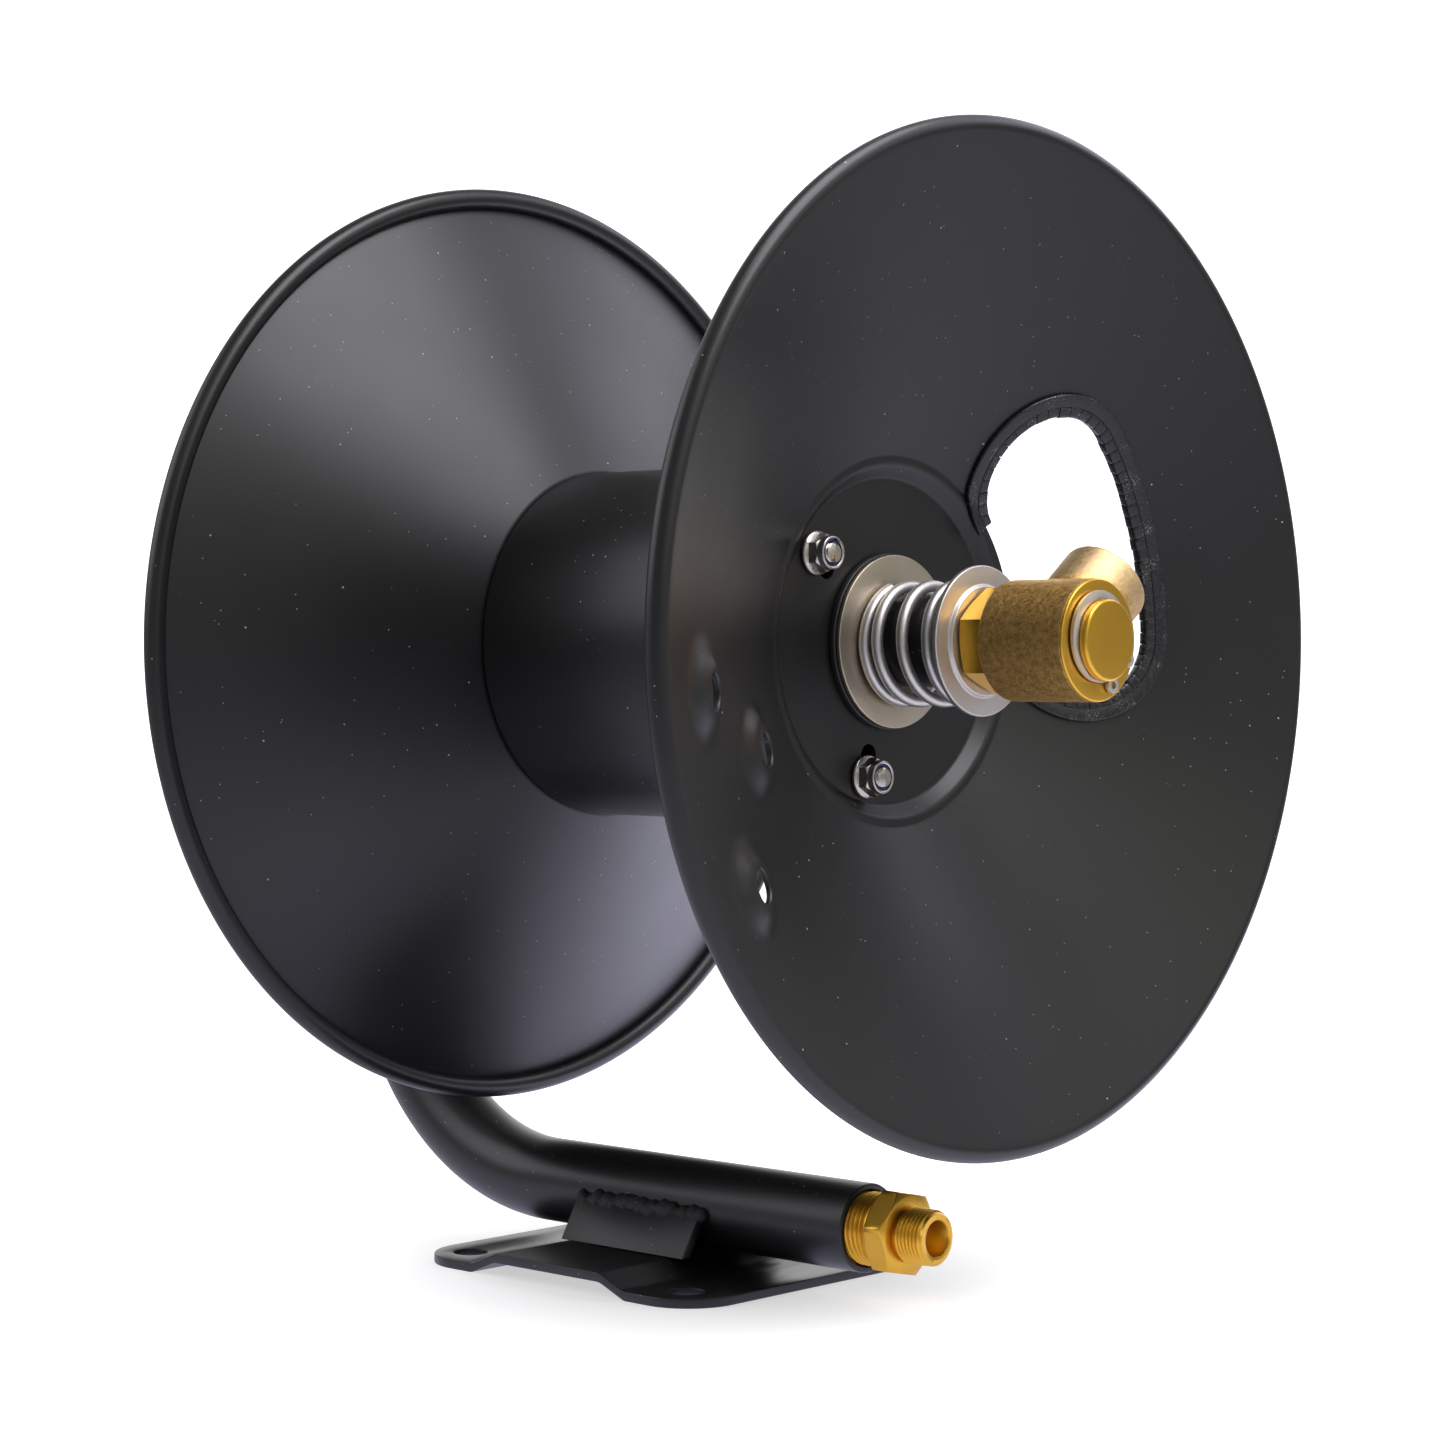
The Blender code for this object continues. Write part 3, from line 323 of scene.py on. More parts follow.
@dataclass(frozen=True)
class TurnedMetal:
    """Bare turned metal: faint tool rings round its axis and a little tarnish."""

    name: str
    deep: Colour
    pale: Colour
    roughness: Point
    axis: Axis = AXLE
    cloud_waves: float = 45.0
    ring_waves: float = 2200.0
    ring_depth: float = 0.0000004

    def material(self) -> Material:
        """Builds the material."""
        shader = Shader(self.name)
        place = shader.coordinates((self.axis.x, self.axis.y, self.axis.z))
        cloud = shader.remap(shader.noise(place, self.cloud_waves, 3.0), NOISE_SPAN, UNIT)
        colour = shader.blend(cloud, self.deep, self.pale)
        rings = shader.tool_rings(place, self.ring_waves)
        roughness = shader.remap(rings, NOISE_SPAN, self.roughness)
        return shader.close(colour, roughness, shader.bump(rings, self.ring_depth), 1.0)


@dataclass(frozen=True)
class SandCastBrass:
    """Sand-cast brass: a grainy, speckled skin, with a painted highlight that makes the outlet paler."""

    name: str = "cast_brass"
    deep: Colour = (0.48, 0.265, 0.062)
    pale: Colour = (0.80, 0.505, 0.160)
    # Pale cream of a painted highlight on the outlet.
    cream: Colour = (0.60, 0.51, 0.37)
    outlet: Point = (0.0170, 0.0215)
    roughness: Point = (0.43, 0.58)
    grain_waves: float = 1450.0
    grain_depth: float = 0.000045
    cloud_waves: float = 520.0
    cloud_depth: float = 0.000020

    def material(self) -> Material:
        """Builds the material."""
        shader = Shader(self.name)
        place = shader.coordinates((AXLE.x, AXLE.y, AXLE.z))
        grain = shader.noise(place, self.grain_waves, 3.0)
        cloud = shader.noise(place, self.cloud_waves, 4.0)
        tone = shader.remap(shader.math("ADD", grain, cloud), (0.76, 1.24), UNIT)
        colour = shader.blend(tone, self.deep, self.pale)
        # Painted highlight: across the outlet radii from the axle, the colour is blended up to 45% towards
        # the pale cream.
        out = shader.remap(shader.distance(place, (0, 1, 1)), self.outlet, (0.0, 0.45))
        colour = shader.blend(out, colour, self.cream)
        roughness = shader.remap(grain, NOISE_SPAN, self.roughness)
        relief = shader.bump(cloud, self.cloud_depth)
        relief = shader.bump(grain, self.grain_depth, relief)
        return shader.close(colour, roughness, relief, 0.9)


def rounded_loop(corners: Sequence[Place], steps: int) -> list[Point]:
    """A closed outline with rounded corners.

    Args:
        corners: Each corner's two coordinates and its radius, 0 for a sharp one.
        steps: Facets of a rounded corner.

    Returns:
        The outline's points in order.
    """
    outline: list[Point] = []
    count = len(corners)
    for i, (across, up, radius) in enumerate(corners):
        here = Vector((across, up))
        back = Vector(corners[i - 1][:2]) - here
        ahead = Vector(corners[(i + 1) % count][:2]) - here
        straight = abs(back.normalized().cross(ahead.normalized())) < 1e-4
        if radius <= 0 or straight:
            outline.append((across, up))
            continue
        half = back.angle(ahead) / 2
        reach = min(radius / math.tan(half), back.length * 0.49, ahead.length * 0.49)
        fillet = reach * math.tan(half)
        middle = (back.normalized() + ahead.normalized()).normalized()
        centre = here + middle * fillet / math.sin(half)
        first = here + back.normalized() * reach - centre
        turn = first.angle_signed(here + ahead.normalized() * reach - centre)
        for step in range(steps + 1):
            outline.append(tuple(centre + Matrix.Rotation(-turn * step / steps, 2) @ first))
    return outline


def arc(centre: Sequence[float], radius: float, start: float, end: float, steps: int) -> list[Point]:
    """Points of a flat arc, both ends included."""
    angles = [start + (end - start) * i / steps for i in range(steps + 1)]
    return [(centre[0] + radius * math.cos(a), centre[1] + radius * math.sin(a)) for a in angles]


def circle(centre: Sequence[float], radius: float, steps: int) -> list[Point]:
    """Points of a flat circle, each once."""
    return arc(centre, radius, 0, math.tau, steps)[:-1]


def polar(radius: float, angle: float) -> Point:
    """The flat point at a radius and an angle."""
    return (radius * math.cos(angle), radius * math.sin(angle))


def ring_faces(pairs: Iterable[tuple[int, int]], columns: int) -> list[tuple[int, ...]]:
    """Faces between rings of points.

    Args:
        pairs: The numbers of the rings that are joined.
        columns: Points in a ring.

    Returns:
        The faces as vertex numbers.
    """
    faces = []
    for low, high in pairs:
        for i in range(columns):
            after = (i + 1) % columns
            places = ((low, i), (low, after), (high, after), (high, i))
            faces.append(tuple(row * columns + column for row, column in places))
    return faces


def mesh_from(
    name: str,
    points: Sequence[Sequence[float]],
    faces: Sequence[Sequence[int]],
    placing: Matrix | None = None,
) -> Mesh:
    """A closed mesh in its place, with its faces turned outwards."""
    mesh = bpy.data.meshes.new(name)
    mesh.from_pydata(points, [], faces)
    if placing is not None:
        mesh.transform(placing)
    return welded(mesh)


def welded(mesh: Mesh) -> Mesh:
    """Merges a mesh's doubles and turns its faces outwards."""
    work = bmesh.new()
    work.from_mesh(mesh)
    bmesh.ops.remove_doubles(work, verts=work.verts, dist=MERGE_DISTANCE)
    bmesh.ops.recalc_face_normals(work, faces=work.faces)
    work.to_mesh(mesh)
    work.free()
    return mesh


@dataclass(frozen=True)
class Hexagon:
    """A stretch of a turned piece that is cut to a hexagon, a flat at clock angle 0."""

    across_flats: float
    start: float
    end: float

    def radius(self, angle: float, turned: float, along: float) -> float:
        """The piece's radius at a clock angle."""
        if not self.start <= along <= self.end:
            return turned
        sixth = math.pi / 3
        off = (angle + sixth / 2) % sixth - sixth / 2
        return min(turned, self.across_flats / 2 / math.cos(off))

    def rows(self, slope: float, shares: Point, steps: tuple[int, int]) -> list[Point]:
        """Profile of the hexagon with both ends turned down.

        Args:
            slope: Slope of the turned ends.
            shares: Radius of each end, as a share of that of the flats.
            steps: Rings of each end.

        Returns:
            Points of the profile.
        """
        flat, corner = self.across_flats / 2, self.across_flats / math.sqrt(3)
        first, last = flat * shares[0], flat * shares[1]
        drop = (corner - first) * math.tan(slope)
        rows = stretch(first, corner, self.start, self.start + drop, drop / steps[0])
        return rows + stretch(corner, last, self.end - drop, self.end, drop / steps[1])


def turned_mesh(
    name: str,
    profile: Sequence[Point],
    segments: int,
    placing: Matrix | None = None,
    hexagon: Hexagon | None = None,
) -> Mesh:
    """A turned solid from a closed profile.

    Args:
        name: The mesh's name.
        profile: Closed line of (radius, along) points; two in a row at radius 0 run along the axis.
        segments: Facets round the axis.
        placing: Matrix that moves it into place.
        hexagon: A stretch that is cut to a hexagon.

    Returns:
        The mesh.
    """
    points = []
    for radius, along in profile:
        for i in range(segments):
            angle = math.tau * i / segments
            here = hexagon.radius(angle, radius, along) if hexagon else radius
            points.append((*polar(here, angle), along))
    rows = len(profile)
    pairs = [(row, (row + 1) % rows) for row in range(rows)]
    pairs = [(low, high) for low, high in pairs if profile[low][0] or profile[high][0]]
    return mesh_from(name, points, ring_faces(pairs, segments), placing)


def stretch(first: float, last: float, start: float, end: float, step: float) -> list[Point]:
    """Evenly spaced rings of a profile, from one radius and place to another."""
    count = max(1, round((end - start) / step))
    shares = [i / count for i in range(count + 1)]
    return [(first + (last - first) * share, start + (end - start) * share) for share in shares]


def prism_mesh(
    name: str, outline: Sequence[Point], start: float, end: float, placing: Matrix | None = None
) -> Mesh:
    """A closed flat outline drawn out along local Z between two heights, then moved into place."""
    count = len(outline)
    points = [(x, y, z) for z in (start, end) for x, y in outline]
    caps = [tuple(range(count)), tuple(range(count, 2 * count))]
    return mesh_from(name, points, ring_faces([(0, 1)], count) + caps, placing)


def joined_mesh(name: str, meshes: Sequence[Mesh]) -> Mesh:
    """Several meshes as one; they are removed."""
    work = bmesh.new()
    for mesh in meshes:
        work.from_mesh(mesh)
        bpy.data.meshes.remove(mesh)
    joined = bpy.data.meshes.new(name)
    work.to_mesh(joined)
    work.free()
    return joined


def linked(name: str, data: ID) -> Object:
    """A new object in the scene."""
    made = bpy.data.objects.new(name, data)
    bpy.context.scene.collection.objects.link(made)
    return made


def baked(source: Object) -> Mesh:
    """The evaluated shape of an object as a plain mesh; the object is removed."""
    bpy.context.view_layer.update()
    graph = bpy.context.evaluated_depsgraph_get()
    mesh = bpy.data.meshes.new_from_object(source.evaluated_get(graph))
    source.modifiers.clear()
    bpy.data.objects.remove(source, do_unlink=True)
    return mesh


def combined(mesh: Mesh, steps: Sequence[tuple[Join, Mesh]]) -> Mesh:
    """A mesh joined with, or cut by, others in turn."""
    host = linked(mesh.name, mesh)
    tools = []
    for join, other in steps:
        tool = linked(other.name, other)
        modifier = host.modifiers.new(other.name, "BOOLEAN")
        modifier.operation = join.value
        modifier.object = tool
        modifier.solver = "EXACT"
        tools.append(tool)
    made = baked(host)
    for tool in tools:
        bpy.data.objects.remove(tool, do_unlink=True)
    return made


def bevelled(mesh: Mesh, width: float, segments: int, angle: float = math.radians(45)) -> Mesh:
    """A mesh whose edges sharper than an angle are rounded to a width."""
    host = linked(mesh.name, mesh)
    modifier = host.modifiers.new("edges", "BEVEL")
    modifier.width = width
    modifier.segments = segments
    modifier.limit_method = "ANGLE"
    modifier.angle_limit = angle
    modifier.use_clamp_overlap = True
    return baked(host)


def remeshed(mesh: Mesh, voxel: float, smoothing: int) -> Mesh:
    """A mesh fused into one skin with faces of a size, smoothed in rounds, with no finish."""
    host = linked(mesh.name, mesh)
    skin = host.modifiers.new("skin", "REMESH")
    skin.mode = "VOXEL"
    skin.voxel_size = voxel
    soft = host.modifiers.new("soft", "SMOOTH")
    soft.iterations = smoothing
    soft.factor = 0.5
    made = baked(host)
    made.materials.clear()
    return made


class GeometryTree(Nodes):
    """A Geometry Nodes tree with named inputs that ends in realized, finished geometry."""

    def __init__(self, name: str) -> None:
        """Starts a tree that takes and gives geometry."""
        super().__init__(bpy.data.node_groups.new(name, "GeometryNodeTree"))
        for way in ("INPUT", "OUTPUT"):
            self.tree.interface.new_socket("Geometry", in_out=way, socket_type="NodeSocketGeometry")
        self.entry = self.tree.nodes.new("NodeGroupInput")

    @property
    def geometry(self) -> NodeSocket:
        """The geometry that comes in."""
        return self.entry.outputs["Geometry"]

    def value(self, name: str, kind: str = "Float") -> NodeSocket:
        """Adds a named input and gives its socket."""
        self.tree.interface.new_socket(name, in_out="INPUT", socket_type=f"NodeSocket{kind}")
        return self.entry.outputs[name]

    def clamp(self, value: Number, low: Number, high: Number) -> NodeSocket:
        """A value held between two others."""
        return self.math("MINIMUM", self.math("MAXIMUM", value, low), high)

    def place(self, radius: Number, angle: NodeSocket, height: Number = 0.0) -> NodeSocket:
        """The point at a radius, an angle and a height."""
        across = self.math("MULTIPLY", radius, self.math("COSINE", angle))
        aside = self.math("MULTIPLY", radius, self.math("SINE", angle))
        return self.out("ShaderNodeCombineXYZ", {0: across, 1: aside, 2: height})

    def moved(self, geometry: NodeSocket, position: NodeSocket) -> NodeSocket:
        """Geometry with its points at other places."""
        return self.out("GeometryNodeSetPosition", {"Geometry": geometry, "Position": position})

    def close(self, geometry: NodeSocket) -> None:
        """Ends the tree: instances are made real and the finish is set."""
        finish = self.value("Finish", "Material")
        real = self.out("GeometryNodeRealizeInstances", {"Geometry": geometry})
        dressed = self.out("GeometryNodeSetMaterial", {"Geometry": real, "Material": finish})
        self.node("NodeGroupOutput", {"Geometry": dressed})

    def apply(self, mesh: Mesh, values: dict[str, object]) -> Mesh:
        """Runs the tree on a mesh, with its inputs by name, and gives a plain mesh."""
        host = linked(mesh.name, mesh)
        modifier = host.modifiers.new(self.tree.name, "NODES")
        modifier.node_group = self.tree
        for item in self.tree.interface.items_tree:
            if item.in_out == "INPUT" and item.name in values:
                modifier[item.identifier] = values[item.name]
        return baked(host)


def thread_tree() -> GeometryTree:
    """A tree that cuts an outside thread into a finely turned piece along local Z.

    Returns:
        The tree; its inputs are Start, End, Pitch, Depth, Runout and Core, the least radius it cuts.
    """
    tree = GeometryTree("outside_thread")
    start, end = tree.value("Start"), tree.value("End")
    pitch, depth = tree.value("Pitch"), tree.value("Depth")
    runout, core = tree.value("Runout"), tree.value("Core")
    place = tree.out("GeometryNodeInputPosition")
    x, y, z = tree.node("ShaderNodeSeparateXYZ", {0: place}).outputs
    squares = [tree.math("MULTIPLY", part, part) for part in (x, y)]
    radius = tree.math("SQRT", tree.math("ADD", *squares))
    turn = tree.math("DIVIDE", tree.math("ARCTAN2", y, x), math.tau)
    phase = tree.math("FRACT", tree.math("SUBTRACT", tree.math("DIVIDE", z, pitch), turn))
    ridge = tree.math("ABSOLUTE", tree.math("SUBTRACT", tree.math("MULTIPLY", phase, 2.0), 1.0))
    groove = tree.clamp(tree.math("MULTIPLY_ADD", ridge, THREAD_SLOPE, -THREAD_CREST), *UNIT)
    rise = tree.clamp(tree.math("DIVIDE", tree.math("SUBTRACT", z, start), runout), *UNIT)
    fall = tree.clamp(tree.math("DIVIDE", tree.math("SUBTRACT", end, z), runout), *UNIT)
    outside = tree.math("GREATER_THAN", radius, core)
    shade = tree.math("MULTIPLY", tree.math("MULTIPLY", rise, fall), tree.math("MULTIPLY", groove, outside))
    scale = tree.math("SUBTRACT", 1.0, tree.math("DIVIDE", tree.math("MULTIPLY", shade, depth), radius))
    across = {i: tree.math("MULTIPLY", part, scale) for i, part in enumerate((x, y))}
    tree.close(tree.moved(tree.geometry, tree.out("ShaderNodeCombineXYZ", {**across, 2: z})))
    return tree


def spring_tree() -> GeometryTree:
    """A tree that winds a compression spring with closed ends along local Z.

    Returns:
        The tree; its inputs are the wire's sizes, its turns, the first of them flat, and its pitches.
    """
    tree = GeometryTree("compression_spring")
    start, mean, wire = tree.value("Start"), tree.value("Mean Radius"), tree.value("Wire Radius")
    dead, first = tree.value("Dead Turns"), tree.value("First Turns")
    opened, last = tree.value("Open Turns"), tree.value("Last Turns")
    pitches = [tree.value(f"{name} Pitch") for name in ("First", "Open", "Last")]
    angle = tree.value("Start Angle")
    line = tree.out("GeometryNodeCurvePrimitiveLine")
    fine = tree.out("GeometryNodeResampleCurve", {"Curve": line, "Count": tree.value("Points", "Int")})
    factor = tree.out("GeometryNodeSplineParameter")
    begins = [dead, tree.math("ADD", dead, first)]
    begins.append(tree.math("ADD", begins[1], opened))
    turn = tree.math("MULTIPLY", factor, tree.math("ADD", begins[2], last))
    rise = start
    for begin, span, pitch in zip(begins, (first, opened, last), pitches):
        wound_turns = tree.clamp(tree.math("SUBTRACT", turn, begin), 0.0, span)
        rise = tree.math("MULTIPLY_ADD", wound_turns, pitch, rise)
    clock = tree.math("ADD", angle, tree.math("MULTIPLY", turn, math.tau))
    wound = tree.moved(fine, tree.place(mean, clock, rise))
    section = tree.out("GeometryNodeCurvePrimitiveCircle", {"Resolution": 24, "Radius": wire})
    inputs = {"Curve": wound, "Profile Curve": section, "Fill Caps": True}
    tree.close(tree.out("GeometryNodeCurveToMesh", inputs))
    return tree


def row_tree() -> GeometryTree:
    """A tree that repeats the incoming piece in a row along local X, each a little different.

    Returns:
        The tree; its inputs are Count, Pitch, Seed, the jitter of the sizes and that of the places.
    """
    tree = GeometryTree("uneven_row")
    step = tree.out("ShaderNodeCombineXYZ", {0: tree.value("Pitch")})
    count, seed = tree.value("Count", "Int"), tree.value("Seed", "Int")
    size, shift = tree.value("Size Jitter", "Vector"), tree.value("Place Jitter", "Vector")
    line = tree.out("GeometryNodeMeshLine", {"Count": count, "Offset": step})

    def drawn(low: NodeSocket, high: NodeSocket, seed: Number) -> NodeSocket:
        """A vector drawn for each copy between two limits."""
        limits = {0: low, 1: high, "Seed": seed}
        return tree.out("FunctionNodeRandomValue", limits, data_type="FLOAT_VECTOR")

    low, high = (tree.vector_math(sign, (1, 1, 1), size).outputs[0] for sign in ("SUBTRACT", "ADD"))
    scales = drawn(low, high, seed)
    back = tree.out("ShaderNodeVectorMath", {0: shift, "Scale": -1.0}, operation="SCALE")
    moves = drawn(back, shift, tree.math("ADD", seed, 1.0))
    places = tree.out("GeometryNodeSetPosition", {"Geometry": line, "Offset": moves})
    copies = {"Points": places, "Instance": tree.geometry, "Scale": scales}
    tree.close(tree.out("GeometryNodeInstanceOnPoints", copies))
    return tree


def clock_tree() -> GeometryTree:
    """A tree that repeats the incoming piece at three clock angles, at both ends of the drum.

    Returns:
        The tree; its inputs are Radius, three angles and Both Ends.
    """
    tree = GeometryTree("clock_places")
    radius, both = tree.value("Radius"), tree.value("Both Ends", "Bool")
    chosen = tree.node("GeometryNodeIndexSwitch", data_type="FLOAT")
    chosen.index_switch_items.new()
    index = tree.out("GeometryNodeInputIndex")
    for i, source in enumerate((index, *[tree.value(f"Angle {n}") for n in (1, 2, 3)])):
        tree.link(source, chosen.inputs[i])
    three = tree.out("GeometryNodeMeshLine", {"Count": 3})
    turned = tree.moved(three, tree.place(radius, chosen.outputs[0]))
    flip = {"Geometry": tree.geometry, "Rotation": (math.pi, 0.0, 0.0)}
    flipped = tree.out("GeometryNodeTransform", flip)
    right = {"Points": turned, "Instance": tree.geometry}
    left = {"Points": turned, "Instance": flipped, "Selection": both}
    every = tree.node("GeometryNodeJoinGeometry")
    for side in (left, right):
        tree.link(tree.out("GeometryNodeInstanceOnPoints", side), every.inputs[0])
    tree.close(every.outputs[0])
    return tree


@dataclass
class Workshop:
    """The finishes and trees that every sub-assembly shares, and the way pieces are handed over."""

    finishes: dict[str, Material] = field(default_factory=dict)
    thread: GeometryTree = field(default_factory=thread_tree)
    spring: GeometryTree = field(default_factory=spring_tree)
    row: GeometryTree = field(default_factory=row_tree)
    clock: GeometryTree = field(default_factory=clock_tree)

    def add(
        self,
        name: str,
        mesh: Mesh,
        body: Body,
        slot: str,
        nodes: Sequence[str],
        finish: str | None = None,
        sharp: float = SHARP_ANGLE,
    ) -> None:
        """Sets a finished piece in the scene on its body, in place of the nodes it stands for.

        Args:
            name: The piece's name.
            mesh: Its mesh, in place.
            body: The body it rides on.
            slot: Its slot in the record, which here only picks its finish.
            nodes: The nodes it stands for.
            finish: Its finish, where that isn't the slot's own.
            sharp: Edges sharper than this are shaded as edges.
        """
        piece = linked(name, mesh)
        mesh.name = name
        if not any(mesh.materials):
            mesh.materials.clear()
            mesh.materials.append(self.finishes[finish or slot])
        mesh.shade_smooth()
        mesh.set_sharp_from_angle(angle=sharp)
        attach(piece, body.value)
        if nodes:
            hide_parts(*nodes)
        LOG.info("%s: %d faces on %s", name, len(mesh.polygons), body.value)

    def cut_thread(
        self, mesh: Mesh, span: Point, pitch: float, depth: float, core: float, finish: str
    ) -> Mesh:
        """Cuts an outside thread into a turned piece.

        Args:
            mesh: The piece, about local Z.
            span: Where the thread starts and ends.
            pitch: The thread's pitch.
            depth: The thread's depth.
            core: The least radius that is cut.
            finish: The piece's finish.

        Returns:
            The threaded piece.
        """
        values = {
            "Start": span[0],
            "End": span[1],
            "Pitch": pitch,
            "Depth": depth,
            "Runout": pitch * 0.8,
            "Core": core,
            "Finish": self.finishes[finish],
        }
        return self.thread.apply(mesh, values)


@dataclass
class WaterTube:
    """The bent tube that carries the water, the drum and the swivel."""

    radius: float = 0.01345
    bore: float = 0.01145
    bend_radius: float = 0.080
    bend_start: float = -0.0845
    lower_drop: float = 0.176
    lower_end: float = 0.0512
    axle_end: float = 0.0924
    lip: float = 0.0007
    bend_steps: int = 36
    sides: int = 64

    @property
    def lower_line(self) -> Axis:
        """The axis of the lower run."""
        return Axis(AXLE.x, 0.0, AXLE.z - self.lower_drop)

    def route(self) -> list[Point]:
        """Centre line in the plane of the bends, from the inlet to the end of the axle."""
        low = (self.bend_start, self.bend_radius - self.lower_drop)
        high = (self.bend_start, -self.bend_radius)
        lower = arc(low, self.bend_radius, -QUARTER, -math.pi, self.bend_steps)
        upper = arc(high, self.bend_radius, math.pi, QUARTER, self.bend_steps)
        return [(self.lower_end, -self.lower_drop), *lower, *upper, (self.axle_end, 0)]

    def lip_rings(self, end: Point, way: float) -> list[tuple[Point, Point, float]]:
        """Rings of a rounded open end that faces +X, from the bore to the outside."""
        rings = []
        for radius, sign, steps in ((self.bore, 1, range(7)), (self.radius, -1, range(6, -1, -1))):
            for i in steps:
                angle = QUARTER * i / 6
                back, inset = self.lip * (1 - math.sin(angle)), self.lip * (1 - math.cos(angle))
                rings.append(((end[0] - back, end[1]), (way, 0.0), radius + sign * inset))
        return rings

    def rings(self) -> list[tuple[Point, Point, float]]:
        """Every ring of the tube's skin in order: centre, direction and radius."""
        route = self.route()
        run = []
        for before, point, after in zip(route, route[1:], route[2:]):
            run.append((point, tuple((Vector(after) - Vector(before)).normalized())))
        outside = [(point, way, self.radius) for point, way in run]
        inside = [(point, way, self.bore) for point, way in run[::-1]]
        first, last = self.lip_rings(route[0], -1.0), self.lip_rings(route[-1], 1.0)
        return first + outside + last[::-1] + inside

    def build(self, shop: Workshop) -> None:
        """Makes the tube."""
        points = []
        skin = self.rings()
        for (x, z), (way_x, way_z), radius in skin:
            normal = Vector((-way_z, way_x))
            for i in range(self.sides):
                angle = math.tau * i / self.sides
                out = normal * math.cos(angle)
                points.append(
                    (AXLE.x + x + radius * out.x, radius * math.sin(angle), AXLE.z + z + radius * out.y)
                )
        rows = len(skin)
        faces = ring_faces([(row, (row + 1) % rows) for row in range(rows)], self.sides)
        mesh = mesh_from("frame_tube", points, faces)
        shop.add("water_tube", mesh, Body.FRAME, "black_paint", ["frame_tube"])


